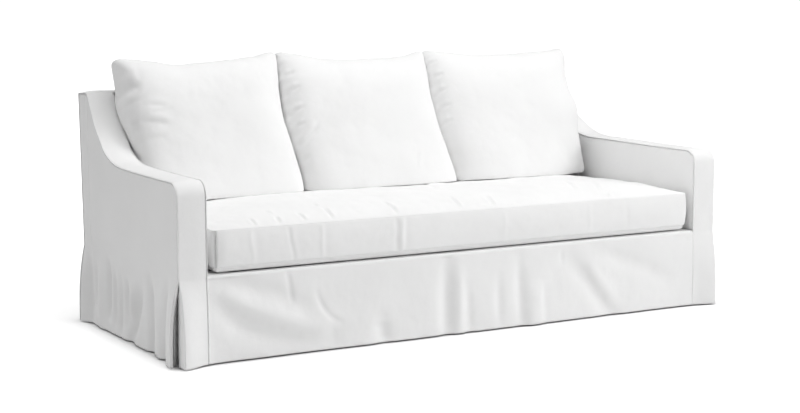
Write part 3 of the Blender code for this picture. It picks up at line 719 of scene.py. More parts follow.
def inside_back():
    k, z = np.meshgrid(np.linspace(-1, 1, 140), np.linspace(DECK_HEIGHT + 0.0008, BACK_HEIGHT - 0.0052, 40), indexing="ij")
    x = k * (INNER - 0.0005 - lean(inside_back_y(z) - FRONT, z))
    p = np.stack([x, inside_back_y(z), z], -1)
    p[..., 1] += np.abs(fbm(p, (0.25, 0.25, 0.2), 121, 2)) * 0.0012 * smooth((BACK_HEIGHT - z) / 0.05)
    n = grid_normals(p, (0, -1, 0))
    cloth = Cloth("inside_back")
    flat = np.stack([x, z], -1)
    index = cloth.add(p, flat)
    cloth.quads(index)
    cloth.strip(index[:, -1], p[:, -1], flat[:, -1], np.tile([0, 0.2, 1.0], (len(x), 1)), n[:, -1], np.array([0, 1.0]),
                SEAM_R, math.radians(135), 0.003)
    obj = cloth.build(COVER, (0, -1, 0.2))
    finish_sheet(obj, "inside_back")


def back_top():
    y0, y1 = IB_TOP_Y + 0.0050, BACK + BACK_RAKE - CORNER_IN
    k, t = np.meshgrid(np.linspace(-1, 1, 300), np.linspace(0, 1, 13), indexing="ij")
    edge = SIDE - CORNER_IN - lean(lerp(y0, y1, t) - FRONT, BACK_HEIGHT)
    x = k * edge
    z = BACK_HEIGHT + 0.0028 * np.sin(math.pi * t) * smooth((edge - np.abs(x)) / 0.03)
    # the cloth goes soft over the corners of the frame
    z = z - 0.006 * smooth(1 - (edge - np.abs(x)) / 0.045)
    p = np.stack([x, lerp(y0, y1, t), z], -1)
    p[..., 2] += fbm(p, (0.12, 0.1, 0.1), 131, 2) * 0.0009 * np.sin(math.pi * t)
    n = grid_normals(p, (0, 0, 1))
    cloth = Cloth("back_top")
    flat = np.stack([x, t * 0.109], -1)
    index = cloth.add(p, flat)
    cloth.quads(index)
    ids, toward, flat_dir = [], [], []
    nx, nt_ = x.shape
    loop = ([((i, 0), (0, -1.0)) for i in range(nx)]
            + [((nx - 1, 0), (math.sin(a), -math.cos(a))) for a in np.linspace(0, math.pi / 2, 5)[1:]]
            + [((nx - 1, j), (1.0, 0)) for j in range(1, nt_)]
            + [((nx - 1, nt_ - 1), (math.cos(a), math.sin(a))) for a in np.linspace(0, math.pi / 2, 5)[1:]]
            + [((i, nt_ - 1), (0, 1.0)) for i in range(nx - 2, -1, -1)]
            + [((0, nt_ - 1), (-math.sin(a), math.cos(a))) for a in np.linspace(0, math.pi / 2, 5)[1:]]
            + [((0, j), (-1.0, 0)) for j in range(nt_ - 2, -1, -1)]
            + [((0, 0), (-math.cos(a), -math.sin(a))) for a in np.linspace(0, math.pi / 2, 5)[1:]])
    for (i, j), (dx, dy) in loop:
        ids.append((i, j))
        toward.append((dx, dy, 0))
        flat_dir.append((dx, dy))
    ii, jj = np.array(ids).T
    cloth.strip(index[ii, jj], p[ii, jj], flat[ii, jj], np.array(toward, float), n[ii, jj], np.array(flat_dir, float),
                SEAM_R, math.radians(135), 0.0025)
    obj = cloth.build(COVER, (0, 0, 1))
    finish_sheet(obj, "back_top")


def outside_back():
    low = np.linspace(0, 1, SKIRT_ROWS - 5)[:-1] * PLEAT_TOP
    zs = np.concatenate([low, np.linspace(PLEAT_TOP, BACK_HEIGHT - CORNER_IN, 46)])
    k = np.linspace(-1, 1, 190)
    k = k * (1 - 0.06 * (k ** 6))
    k = k / k[-1]
    w = smooth(opening(zs) * 3)
    lim = lerp(SIDE - CORNER_IN, SIDE - 0.0023 - LIP_R, w) - lean(DEPTH + rake(zs), zs)
    edge = lim[None, :]
    x = k[:, None] * edge
    z = np.broadcast_to(zs[None, :], x.shape)
    z = z - 0.006 * smooth(1 - (edge - np.abs(x)) / 0.045) * np.clip((z - 0.6) / 0.25, 0, 1)
    p = np.stack([x, back_y(x, z), z], -1)
    n = grid_normals(p, (0, 1, 0))
    upper = smooth((z - PLEAT_TOP) / 0.08) * smooth((BACK_HEIGHT - z) / 0.05) * smooth((edge - np.abs(x)) / 0.05)
    p = p + n * (upper * (0.001 + 0.0022 * fbm(p, (0.30, 0.3, 0.25), 141, 2)))[..., None]
    p = pucker(p, n, np.minimum(BACK_HEIGHT - z, np.where(z > PLEAT_TOP, edge - np.abs(x), 1.0)), 143)
    n = grid_normals(p, (0, 1, 0))
    cloth = Cloth("outside_back")
    flat = np.stack([x, z], -1)
    index = cloth.add(p, flat)
    cloth.quads(index)
    nx, nz_ = x.shape
    loop = ([((0, j), (-1.0, 0)) for j in range(nz_)]
            + [((0, nz_ - 1), (-math.cos(a), math.sin(a))) for a in np.linspace(0, math.pi / 2, 5)[1:]]
            + [((i, nz_ - 1), (0, 1.0)) for i in range(1, nx)]
            + [((nx - 1, nz_ - 1), (math.sin(a), math.cos(a))) for a in np.linspace(0, math.pi / 2, 5)[1:]]
            + [((nx - 1, j), (1.0, 0)) for j in range(nz_ - 2, -1, -1)])
    ii, jj = np.array([q[0] for q in loop]).T
    dirs = np.array([q[1] for q in loop], float)
    bz = z[ii, jj]
    open_ = opening(bz)
    ww = smooth(open_ * 3)
    cloth.strip(index[ii, jj], p[ii, jj], flat[ii, jj], np.column_stack([dirs[:, 0], np.zeros(len(ii)), dirs[:, 1]]),
                n[ii, jj], dirs, lerp(SEAM_R, LIP_R, ww), np.radians(lerp(135, 94, ww)), 0.003 + 0.045 * open_ ** 0.8)
    obj = cloth.build(COVER, (0, 1, 0))
    finish_sheet(obj, "outside_back")


def pleat_insert(end, side):
    """The underlay: joins the two lips' turned-in edges deep behind the opening."""
    s = {"L": -1, "R": 1}[side]
    zs = np.linspace(0.0, PLEAT_TOP - 0.002, 42)
    rows = []
    for z in zs:
        o = float(opening(z))
        if end == "front":
            so = float(side_out(side, np.array(0.0), np.array(z)))
            fy = float(front_y(np.array(s * SIDE), np.array(z)))
            run = 0.003 + 0.030 * o ** 0.8
            run2 = 0.003 + 0.045 * o ** 0.8
            a = np.array([s * (SIDE + so - 0.0115 - 0.26 * run), FRONT + 0.004 - 0.010 * o + run])
            d = np.array([s * (SIDE - 0.0080 - 0.08 * run2), fy + 0.006 + run2])
            b = np.array([s * (SIDE - 0.060 - 0.060 * o), FRONT + 0.150 + 0.030 * o])
            c = np.array([s * (SIDE - 0.100 - 0.060 * o), FRONT + 0.120 + 0.030 * o])
        else:
            rear = BACK
            so = float(side_out(side, np.array(DEPTH), np.array(z)))
            by = float(back_y(np.array(s * SIDE), np.array(z)))
            run = 0.003 + 0.030 * o ** 0.8
            run2 = 0.003 + 0.045 * o ** 0.8
            a = np.array([s * (SIDE + so - 0.0115 - 0.26 * run), rear - 0.004 - run])
            d = np.array([s * (SIDE - 0.0080 - 0.08 * run2), by - 0.006 - run2])
            b = np.array([s * (SIDE - 0.060 - 0.060 * o), rear - 0.150 - 0.030 * o])
            c = np.array([s * (SIDE - 0.100 - 0.060 * o), rear - 0.120 - 0.030 * o])
        ts = np.linspace(0, 1, 22)[:, None]
        curve = ((1 - ts) ** 3) * a + 3 * ts * (1 - ts) ** 2 * b + 3 * ts ** 2 * (1 - ts) * c + ts ** 3 * d
        rows.append(np.column_stack([curve, np.full(len(ts), z)]))
    p = np.array(rows)
    run = np.concatenate([np.zeros((len(zs), 1)), np.cumsum(np.linalg.norm(np.diff(p, axis=1), axis=2), 1)], 1)
    cloth = Cloth(f"pleat_{end}_{side}")
    index = cloth.add(p, np.stack([run, p[..., 2]], -1))
    cloth.quads(index)
    # the underlay in the darker cloth, its painted shade
    obj = cloth.build(SHADED_INSIDE, (s, -1 if end == "front" else 1, 0))
    finish_sheet(obj, f"pleat_{end}_{side}")


# ============================================================ the seat cushion
def seat_crown(u, v):
    return (1 - np.abs(u) ** 7) ** 0.8 * np.maximum(1 - np.abs(v) ** 3.2, 0) ** 0.72


def seat_sink(y):
    """How far the pillows press the seat's top down."""
    return 0.007 * smooth((y + 0.12) / 0.20)


# creases on the top: two ends (x, y), half width, depth
TOP_CREASES = [
    ((-0.853, -0.447), (-0.852, -0.375), 0.0052, 0.0042),
    ((-0.761, -0.372), (-0.758, -0.305), 0.0052, 0.0036),
    ((-0.764, -0.453), (-0.754, -0.380), 0.0052, 0.0052),
    ((-0.667, -0.453), (-0.666, -0.365), 0.0054, 0.0060),
    ((-0.563, -0.335), (-0.553, -0.270), 0.0054, 0.0036),
    ((-0.560, -0.447), (-0.549, -0.335), 0.0056, 0.0060),
    ((-0.303, -0.447), (-0.280, -0.280), 0.0060, 0.0056),
    ((-0.035, -0.447), (-0.002, -0.290), 0.0056, 0.0044),
    ((0.062, -0.105), (0.183, 0.220), 0.0120, 0.0030),
    ((0.106, -0.453), (0.135, -0.335), 0.0056, 0.0044),
    ((0.541, -0.365), (0.640, -0.120), 0.0060, 0.0032),
    ((0.633, -0.395), (0.730, -0.185), 0.0060, 0.0032),
    ((0.634, -0.445), (0.656, -0.385), 0.0052, 0.0036),
]
# folds in the boxing's front: (x at the top, x at the foot, half width, depth)
BOX_CREASES = [
    (-0.880, -0.868, 0.0080, 0.0015),
    (-0.738, -0.716, 0.0060, -0.0027),
    (-0.612, -0.606, 0.0070, 0.0020),
    (-0.313, -0.310, 0.0080, -0.0029),
    (-0.287, -0.290, 0.0075, 0.0027),
    (0.144, 0.150, 0.0080, 0.0011),
    (0.534, 0.536, 0.0080, 0.0014),
    (0.711, 0.713, 0.0080, -0.0011),
]


def seat_cushion():
    half_y, mid_y = (SEAT_REAR - SEAT_FRONT) / 2, (SEAT_REAR + SEAT_FRONT) / 2
    nx, ny = 400, 118
    us, vs = np.linspace(-1, 1, nx + 1), np.linspace(-1, 1, ny + 1)
    us = us * (1 - 0.10 * us ** 8) / 0.90
    vs = vs * (1 - 0.12 * vs ** 6) / 0.88
    u, v = np.meshgrid(us, vs, indexing="ij")
    roll_in = 0.0032
    hx, hy = SEAT_HALF_X - 0.0020, half_y - 0.0075

    def rounded(u, v, hx, hy, radius=0.016):
        x, y = u * hx, v * hy
        dx, dy = np.maximum(np.abs(x) - (hx - radius), 0), np.maximum(np.abs(y) - (hy - radius), 0)
        length = np.hypot(dx, dy)
        k = np.where(length > 0, np.maximum(dx, dy) / np.maximum(length, 1e-9), 1)
        return (np.sign(x) * (np.minimum(np.abs(x), hx - radius) + dx * k),
                np.sign(y) * (np.minimum(np.abs(y), hy - radius) + dy * k))

    x, y = rounded(u, v, hx - roll_in, hy - roll_in)
    y = y + mid_y
    crown = seat_crown(u, v)
    z = lerp(SEAT_HIGH + 0.0022, SEAT_CROWN, crown) - seat_sink(y) * crown
    p = np.stack([x, y, z], -1)
    inside = smooth((1 - np.abs(u)) * hx / 0.03) * smooth((1 - np.abs(v)) * hy / 0.02)
    lift = fbm(p, (0.20, 0.16, 0.3), 151, 3) * 0.0042 + fbm(p, (0.055, 0.09, 0.1), 157, 2) * 0.0010
    for (x0, y0), (x1, y1), half, depth in TOP_CREASES:
        bend = (x0 + x1) / 2 + 0.002, (y0 + y1) / 2
        best, t = near_curve(((x0, y0), bend, (x1, y1)), x, y, 40)
        d = np.sqrt(best)
        side = np.sign((x - x0) * (y1 - y0) - (y - y0) * (x1 - x0))
        taper = np.minimum(1, 0.35 + 3 * t) * smooth((1 - t) * 2.2)
        lift = lift - depth * taper * np.exp(-(d / half) ** 2)
        lift = lift + 0.50 * depth * taper * np.exp(-((d - 2.1 * half) / (1.7 * half)) ** 2) * (side > 0)
        lift = lift + 0.20 * depth * taper * np.exp(-((d - 2.1 * half) / (2.0 * half)) ** 2) * (side < 0)
    # small gathers where the top is eased onto its seam
    edge_d = np.minimum((1 - np.abs(u)) * hx, (1 - np.abs(v)) * hy)
    gather = fbm(np.stack([x, y * 0.35, z * 0], -1), (0.030, 0.030, 1), 163, 2)
    lift = lift + gather * 0.0011 * np.exp(-(edge_d / 0.040) ** 2)
    p[..., 2] += lift * inside
    cloth = Cloth("seat_cushion")
    flat = np.stack([u * hx, v * hy], -1)
    index = cloth.add(p, flat)
    cloth.quads(index)

    rim = np.array([(i, 0) for i in range(nx)] + [(nx, j) for j in range(ny)]
                   + [(i, ny) for i in range(nx, 0, -1)] + [(0, j) for j in range(ny, 0, -1)])
    ru, rv = us[rim[:, 0]], vs[rim[:, 1]]
    bx, by = rounded(ru, rv, hx, hy)
    base = np.column_stack([bx, by + mid_y])
    tangent = unit(np.roll(base, -1, 0) - np.roll(base, 1, 0))
    outward = np.column_stack([tangent[:, 1], -tangent[:, 0]])
    along = np.concatenate([[0], np.cumsum(np.linalg.norm(np.diff(base, axis=0), axis=1))])
    H, L = SEAT_HIGH, SEAT_LOW
    profile = [(-0.0014, H + 0.0018), (-0.0004, H + 0.0009), (-0.0001, H + 0.0002), (-0.0009, H - 0.0004),
               (-0.0009, H - 0.0010), (0.0003, H - 0.0017), (0.0014, H - 0.0030)]
    for t in np.linspace(0.05, 0.95, 19):
        profile.append((-0.0006 + 0.0088 * math.sin(math.pi * t) ** 0.62, lerp(H - 0.003, L + 0.003, t)))
    profile += [(0.0006, L + 0.0036), (-0.0012, L + 0.0024), (-0.0040, L + 0.0012),
                (-0.0066, L - 0.0004), (-0.0072, L - 0.0030), (-0.0076, L - 0.0065), (-0.0092, L - 0.0105),
                (-0.0125, L - 0.0140), (-0.0190, L - 0.0172), (-0.034, L - 0.0200), (-0.060, L - 0.0213)]
    rings = []
    for out, zz in profile:
        ring = np.column_stack([base + outward * out, np.full(len(base), zz)])
        rings.append(ring)
    rings = np.array(rings)
    span = np.clip((H - rings[..., 2]) / (H - L), 0, 1)
    onbox = np.sin(math.pi * span) ** 0.5
    bulge = fbm(rings, (0.16, 0.16, 0.12), 171, 3) * 0.0022 * onbox
    bulge += fbm(rings, (0.05, 0.05, 0.05), 173, 2) * 0.0006 * onbox
    front = (outward[:, 1] < -0.7)[None, :]
    for x_top, x_foot, half, depth in BOX_CREASES:
        line_x = lerp(x_top, x_foot, span) + 0.002 * np.sin(span * 7 + x_top * 40)
        d = rings[..., 0] - line_x
        fold = depth * np.exp(-(d / half) ** 2) - 0.5 * depth * np.exp(-((d - 2.2 * half) / (1.6 * half)) ** 2)
        bulge += fold * front * np.clip(onbox * 1.3, 0, 1)
    # the boxing is drawn in beside the seam at each front corner, most at the left one
    total = along[-1] + np.linalg.norm(base[0] - base[-1])
    for at, draw, pinch in ((0.0, 0.0070, 0.0125), (along[nx], 0.0020, 0.0)):
        s = np.abs(along - at)
        s = np.minimum(s, total - s)[None, :]
        bulge -= (draw * np.exp(-(s / 0.024) ** 2) + pinch * np.exp(-(s / 0.0048) ** 2)) * np.clip(onbox * 1.2, 0, 1)
    ring_flat = np.stack([np.broadcast_to(along[None, :], span.shape), -rings[..., 2] * 1.0], -1)
    rings[..., :2] += outward[None] * bulge[..., None]
    ring_index = cloth.add(rings, ring_flat)
    chain = np.vstack([index[rim[:, 0], rim[:, 1]][None, :], ring_index])
    chain = np.hstack([chain, chain[:, :1]])
    cloth.quads(chain[::-1])
    obj = cloth.build(CUSHION, (0, 0, 1), thickness=0)
    # the flat underside
    mesh = obj.data
    count = len(base)
    import bmesh
    bm = bmesh.new()
    bm.from_mesh(mesh)
    bm.verts.ensure_lookup_table()
    last = [bm.verts[i] for i in ring_index[-1].tolist()]
    face = bm.faces.new(last[::-1])
    face.smooth = True
    bmesh.ops.recalc_face_normals(bm, faces=bm.faces[:])
    bm.to_mesh(mesh)
    bm.free()
    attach(obj, "root")
    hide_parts("seat_cushion")
    return obj


# ============================================================ the back pillows
def seat_surface(x, y):
    half_y, mid_y = (SEAT_REAR - SEAT_FRONT) / 2, (SEAT_REAR + SEAT_FRONT) / 2
    u, v = np.clip(x / SEAT_HALF_X, -1, 1), np.clip((y - mid_y) / half_y, -1, 1)
    crown = seat_crown(u, v)
    return lerp(SEAT_HIGH, SEAT_CROWN, crown) - seat_sink(y) * crown


def rear_limit(z):
    return inside_back_y(np.minimum(z, BACK_HEIGHT)) - 0.005 + np.maximum(0.0, z - BACK_HEIGHT - 0.030) * 1.4


def side_limit(side, y, z):
    """The furthest out a pillow may reach: just inside the arm, then over it."""
    table = np.array(ARM_TOP[side])
    arm = np.interp(y - FRONT, table[:, 0], table[:, 1])
    return (INNER - 0.004 - lean(y - FRONT, np.minimum(z, BACK_HEIGHT))
            + np.maximum(0.0, z - arm - 0.006) * 0.7)


def refine(grid):
    """Doubles a grid's resolution along both ways, smoothly."""
    for axis in (0, 1):
        g = np.moveaxis(grid, axis, 0)
        ext = np.concatenate([2 * g[:1] - g[1:2], g, 2 * g[-1:] - g[-2:-1]])
        out = np.empty((2 * len(g) - 1,) + g.shape[1:])
        out[::2] = g
        out[1::2] = (-ext[:-3] + 9 * ext[1:-2] + 9 * ext[2:-1] - ext[3:]) / 16
        grid = np.moveaxis(out, 0, axis)
    return grid


# Pulls in the pillow fronts: two ends (x, height up the pillow), half width,
# depth.  One bank of each is steeper than the other.
PILLOW_CREASES = {
    "L": [((-1.020, 0.462), (-0.985, 0.468), 0.014, 0.0014),
          ((-1.030, 0.400), (-0.965, 0.392), 0.024, 0.0076),
          ((-1.030, 0.338), (-0.950, 0.350), 0.013, 0.0030),
          ((-0.975, 0.322), (-0.871, 0.306), 0.010, 0.0022),
          ((-0.946, 0.286), (-0.865, 0.300), 0.009, 0.0020),
          ((-0.990, 0.262), (-0.873, 0.236), 0.012, 0.0034),
          ((-0.985, 0.190), (-0.900, 0.196), 0.012, 0.0016)],
    "C": [((-0.350, 0.431), (-0.326, 0.448), 0.007, 0.0045),
          ((-0.350, 0.366), (-0.318, 0.386), 0.007, 0.0050),
          ((-0.350, 0.282), (-0.316, 0.300), 0.007, 0.0050),
          ((-0.350, 0.221), (-0.322, 0.236), 0.006, 0.0038),
          ((-0.346, 0.150), (-0.272, 0.220), 0.009, 0.0070),
          ((-0.343, 0.098), (-0.322, 0.118), 0.006, 0.0030),
          ((0.129, 0.096), (0.104, 0.072), 0.006, 0.0030)],
    "R": [((0.327, 0.477), (0.350, 0.488), 0.006, 0.0035),
          ((0.327, 0.411), (0.354, 0.424), 0.007, 0.0040),
          ((0.327, 0.344), (0.356, 0.360), 0.007, 0.0040),
          ((0.327, 0.276), (0.360, 0.290), 0.007, 0.0040),
          ((0.327, 0.211), (0.352, 0.224), 0.006, 0.0032)],
}


def pillow_case(width, height, step):
    """Two flat layers of cloth that share their edge: points, faces, flat
    coordinates, and the grid position of each point."""
    nu, nv = int(round(width / step)), int(round(height / step))
    us, vs = np.linspace(-1, 1, nu + 1), np.linspace(-1, 1, nv + 1)
    u, v = np.meshgrid(us, vs, indexing="ij")
    index = {1: np.zeros((nu + 1, nv + 1), int), -1: np.zeros((nu + 1, nv + 1), int)}
    pts = []
    front = np.arange((nu + 1) * (nv + 1)).reshape(nu + 1, nv + 1)
    index[1] = front
    gap = 0.006 * (1 - np.abs(u) ** 6) * (1 - np.abs(v) ** 6)
    pts = np.stack([u * width / 2, v * height / 2, gap], -1).reshape(-1, 3)
    back = front.copy()
    inner = np.zeros_like(front, bool)
    inner[1:-1, 1:-1] = True
    back[inner] = np.arange(inner.sum()) + front.size
    pts_back = np.stack([u[inner] * width / 2, v[inner] * height / 2, -gap[inner]], -1)
    pts = np.vstack([pts, pts_back])
    uv = np.vstack([np.stack([u, v], -1).reshape(-1, 2), np.stack([u[inner], v[inner]], -1)])
    faces = []
    for idx, flip in ((front, False), (back, True)):
        a, b, c, d = idx[:-1, :-1], idx[1:, :-1], idx[1:, 1:], idx[:-1, 1:]
        f = np.stack([a, b, c, d], -1).reshape(-1, 4)
        faces.append(f[:, ::-1] if flip else f)
    return pts, np.vstack(faces), uv, front, back, (nu, nv)


def inflate(name, pts, faces, pressure, frames, seed):
    """Blender's cloth, blown up from flat without gravity; returns the points."""
    rng = np.random.default_rng(seed)
    pts = pts.copy()
    pts[:, 2] += rng.normal(size=len(pts)) * 0.0004
    mesh = bpy.data.meshes.new(name)
    mesh.from_pydata(pts.tolist(), [], faces.tolist())
    obj = bpy.data.objects.new(name, mesh)
    bpy.context.scene.collection.objects.link(obj)
    mod = obj.modifiers.new("Cloth", "CLOTH")
    st = mod.settings
    st.quality = 5
    st.mass = 0.25
    st.tension_stiffness, st.compression_stiffness, st.shear_stiffness = 30, 30, 10
    st.bending_stiffness = 0.1
    st.tension_damping = st.compression_damping = st.shear_damping = 5
    st.air_damping = 1.0
    st.use_pressure = True
    st.uniform_pressure_force = pressure
    st.effector_weights.gravity = 0
    mod.collision_settings.use_collision = False
    mod.collision_settings.use_self_collision = False
    mod.point_cache.frame_start, mod.point_cache.frame_end = 1, frames + 1
    scene = bpy.context.scene
    for f in range(1, frames + 1):
        scene.frame_set(f)
    ev = obj.evaluated_get(bpy.context.evaluated_depsgraph_get())
    out = np.zeros(len(pts) * 3, np.float32)
    ev.data.vertices.foreach_get("co", out)
    out = out.reshape(-1, 3).astype(float)
    bpy.data.objects.remove(obj, do_unlink=True)
    bpy.data.meshes.remove(mesh)
    scene.frame_set(1)
    return out


def back_pillow(key, seed):
    left, right, z_left, z_right, sag = PILLOWS[key]
    width, height = right - left, math.hypot(HEAD_Y - FOOT_Y, HEAD_Z - FOOT_Z)
    pts, faces, uv, front, back, (nu, nv) = pillow_case(width * 1.02, height * 1.02, 0.0095)
    out = inflate(f"case_{key}", pts, faces, 3.0, 20, seed)
    # the gathers that the blown-up case shows along its seams
    wrinkles = []
    for grid in (out[front][..., 2], out[back][..., 2]):
        soft = grid.copy()
        for _ in range(24):
            soft[1:-1, 1:-1] = 0.5 * soft[1:-1, 1:-1] + 0.125 * (
                soft[:-2, 1:-1] + soft[2:, 1:-1] + soft[1:-1, :-2] + soft[1:-1, 2:])
        fine = grid - soft
        for _ in range(2):
            fine[1:-1, 1:-1] = 0.25 * (fine[:-2, 1:-1] + fine[2:, 1:-1] + fine[1:-1, :-2] + fine[1:-1, 2:])
        wrinkles.append(refine(fine) * np.sign(soft[nu // 2, nv // 2]))
    rows = wrinkles[0].shape[1]
    # the upright profile, in even steps along its surface
    h_fine = np.concatenate([np.linspace(0, 0.06, 400)[:-1], np.linspace(0.06, 0.94, 800)[:-1], np.linspace(0.94, 1, 400)])
    w = 2 * h_fine - 1
    swell = np.where(w < 0, (1 - np.abs(w) ** 26) ** 0.42, (1 - np.abs(w) ** 4.0) ** 0.55)
    swell_back = ((1 - w ** 4) ** 0.62) * (1.0 - 0.20 * w)
    run = np.concatenate([[0], np.cumsum(np.hypot(np.diff(h_fine) * height, np.diff(swell) * PILLOW_FRONT[key]))])
    hs = np.interp(np.linspace(0, run[-1], rows), run, h_fine)
    hs[0], hs[-1] = 0, 1
    which = "LCR".index(key)
    bows = [resample(PILLOW_SEAM[which + k], 0.02) for k in (0, 1)]
    sag_table = resample(PILLOW_SAG[key], 0.02)
    turn = np.linspace(0, 1, 700) ** 2 * math.pi / 2
    fin_wave = np.sin(hs * 61 + seed) * np.sin(hs * 23 + 2.0 * seed)
    shaped = []
    for face, wrinkle in zip((1, -1), wrinkles):
        U = np.linspace(-1, 1, wrinkle.shape[0])
        x, c, half, bulk = (np.zeros(wrinkle.shape) for _ in range(4))
        for j, h in enumerate(hs):
            behind = PILLOW_SET_BACK[key] * float(smooth((1 - h) / 0.22) * smooth((h - 0.30) / 0.25))
            lx = left + np.interp(h, bows[0][:, 0], bows[0][:, 1]) + behind * 0.52
            fin = PILLOW_FIN[key] * (0.8 + 0.5 * fin_wave[j]) * float(smooth(h / 0.1) * smooth((1 - h) / 0.06))
            rx = right + np.interp(h, bows[1][:, 0], bows[1][:, 1])
            hx = (rx - lx) / 2
            depth = (PILLOW_FRONT[key] * np.interp(h, h_fine, swell) if face == 1
                     else PILLOW_BACK * np.interp(h, h_fine, swell_back))
            for k, side in enumerate((U < 0, U >= 0)):
                to_x, to_c = PILLOW_ROUND[key][k] if face == 1 else (0.77, 0.77)
                set_back = behind * face if k == 0 else 0.0
                sx, sc = hx * np.cos(turn) ** to_x, (depth + set_back) * np.sin(turn) ** to_c
                if k == 0:   # the cloth gathered flat along the seam
                    sx = sx - fin * (1 - np.exp(-sc / 0.009)) * np.clip(sx / hx, 0, 1) ** 6
                arc = np.concatenate([[0], np.cumsum(np.hypot(np.diff(sx), np.diff(sc)))])
                at = (1 - np.abs(U[side])) * arc[-1]
                x[side, j] = (lx + rx) / 2 + (-1, 1)[k] * np.interp(at, arc, sx)
                bulk[side, j] = np.interp(at, arc, sc)
                c[side, j] = bulk[side, j] - set_back
            half[:, j] = hx
        x[len(U) // 2] = (x[len(U) // 2 - 1] + x[len(U) // 2 + 1]) / 2
        c = c * face
        centre = (x[:1] + x[-1:]) / 2
        across, up = x - centre, np.broadcast_to((hs - 0.5) * height, x.shape)
        u, v = across / half, np.broadcast_to(hs, x.shape)
        round_x = np.maximum(np.abs(across) - (half - 0.020), 0)
        round_y = np.maximum(np.abs(up) - (height / 2 - 0.020), 0)
        length = np.maximum(np.hypot(round_x, round_y), 1e-9)
        k = np.where(round_x * round_y > 0, np.maximum(round_x, round_y) / length, 1)
        across = np.where(round_x * round_y > 0, np.sign(across) * (half - 0.020 + round_x * k), across)
        up = np.where(round_x * round_y > 0, np.sign(up) * (height / 2 - 0.020 + round_y * k), up)
        corner = lerp(z_left, z_right, (u + 1) / 2)
        top = (corner - sag * np.interp(u, sag_table[:, 0], sag_table[:, 1]) - FOOT_Z) / (HEAD_Z - FOOT_Z)
        h = (up / height + 0.5) * top
        x = centre + across
        squat = (1 - smooth(h / 0.28)) * (face == 1)
        if key == "R":
            c = c * (1 - 0.50 * smooth((u - 0.1) / 0.9) * (1 - smooth(h / 0.24)))
        y = lerp(FOOT_Y, HEAD_Y, h) - c * 0.924 - 0.034 * squat * c / PILLOW_FRONT[key]
        z = lerp(FOOT_Z, HEAD_Z, h) + c * 0.381 * (1 - squat)
        p = np.stack([x, y, z], -1)
        edge = np.minimum((1 - np.abs(u)) * half + bulk * 0.6, np.minimum(v, 1 - v) * height + bulk * 0.6)
        edge = np.maximum(edge, 0)
        inside = np.minimum.outer(np.sin(np.linspace(0, math.pi, len(U))), np.sin(np.linspace(0, math.pi, rows))) * 30
        inner = smooth(edge / 0.012) * smooth(inside)
        n = grid_normals(p, (0, -face, 0.4 * face))
        # filling that has settled unevenly
        lift = fbm(p, (0.17, 0.17, 0.17), seed + 7 * face, 2) * 0.0042 * smooth(edge / 0.10)
        lift += fbm(p, (0.055, 0.055, 0.055), seed + 3 * face, 2) * 0.0011 * smooth(edge / 0.03)
        lift += wrinkle * 0.45
        if face == 1:
            up = h * height
            for (x0, h0), (x1, h1), wide, deep in PILLOW_CREASES[key]:
                bend = ((x0 + x1) / 2, (h0 + h1) / 2 - 0.004)
                best, t = near_curve(((x0, h0), bend, (x1, h1)), x, up)
                d = np.sqrt(best)
                above = (up - h0) * (x1 - x0) - (x - x0) * (h1 - h0) > 0
                taper = smooth((1 - t) * 2.5) * (0.5 + 0.5 * smooth(t * 4))
                lift -= deep * taper * np.exp(-(d / wide) ** 2) * np.where(above, 1, 0.8)
                lift += 0.8 * deep * taper * np.exp(-((d - 1.9 * wide) / (1.5 * wide)) ** 2) * above
        p = p + n * (lift * inner)[..., None]
        x, y, z = np.moveaxis(p, -1, 0)
        # the foot is pressed onto the seat and the back onto the cover's back
        d = z - seat_surface(x * 0.97, y)
        z = z - (0.012 if face == 1 else 0.045) * np.exp(-np.maximum(d, 0) / 0.050)
        z = np.maximum(z, seat_surface(x * 0.97, y) + 0.0012)
        y = y - 0.020 * np.exp(-np.maximum(d, 0) / 0.011) * (face == 1) * smooth(edge / 0.035)
        y = np.minimum(y, rear_limit(z))
        x = np.clip(x, -side_limit("L", y, z), side_limit("R", y, z))
        shaped.append(np.stack([x, y, z], -1))
    shaped[1][0], shaped[1][-1], shaped[1][:, 0], shaped[1][:, -1] = (
        shaped[0][0], shaped[0][-1], shaped[0][:, 0], shaped[0][:, -1])
    shape = shaped[0].shape[:2]
    front = np.arange(shape[0] * shape[1]).reshape(shape)
    back = front.copy()
    inner = np.zeros(shape, bool)
    inner[1:-1, 1:-1] = True
    back[inner] = np.arange(inner.sum()) + front.size
    points = np.vstack([shaped[0].reshape(-1, 3), shaped[1][inner]]) + SHIFT
    fu, fv = np.meshgrid(np.linspace(0, width, shape[0]), np.linspace(0, height, shape[1]), indexing="ij")
    flat = np.vstack([np.stack([fu, fv], -1).reshape(-1, 2), np.stack([fu + 1.3, fv], -1)[inner]])
    quads = []
    for idx, flip in ((front, False), (back, True)):
        f = np.stack([idx[:-1, :-1], idx[1:, :-1], idx[1:, 1:], idx[:-1, 1:]], -1).reshape(-1, 4)
        quads.append(f[:, ::-1] if flip else f)
    mesh = bpy.data.meshes.new(f"pillow_{key}_case")
    mesh.from_pydata(points.tolist(), [], np.vstack(quads).tolist())
    layer = mesh.uv_layers.new(name="cloth")
    loops = np.zeros(len(mesh.loops), np.int32)
    mesh.loops.foreach_get("vertex_index", loops)
    layer.data.foreach_set("uv", flat[loops].astype(np.float32).ravel())
    mesh.materials.append(CUSHION)
    mesh.shade_smooth()
    obj = bpy.data.objects.new(f"pillow_{key}_case", mesh)
    bpy.context.scene.collection.objects.link(obj)
    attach(obj, "root")
    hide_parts(f"pillow_{key}")
    return obj


# ============================================================ build it all
for side in ("L", "R"):
    arm_side(side)
    arm_side(side, inner=True)
    arm_band(side)
    pleat_insert("front", side)
    pleat_insert("back", side)
front_skirt()
deck()
inside_back()
back_top()
outside_back()
seat_cushion()
for k, key in enumerate(("L", "C", "R")):
    back_pillow(key, 200 + k)


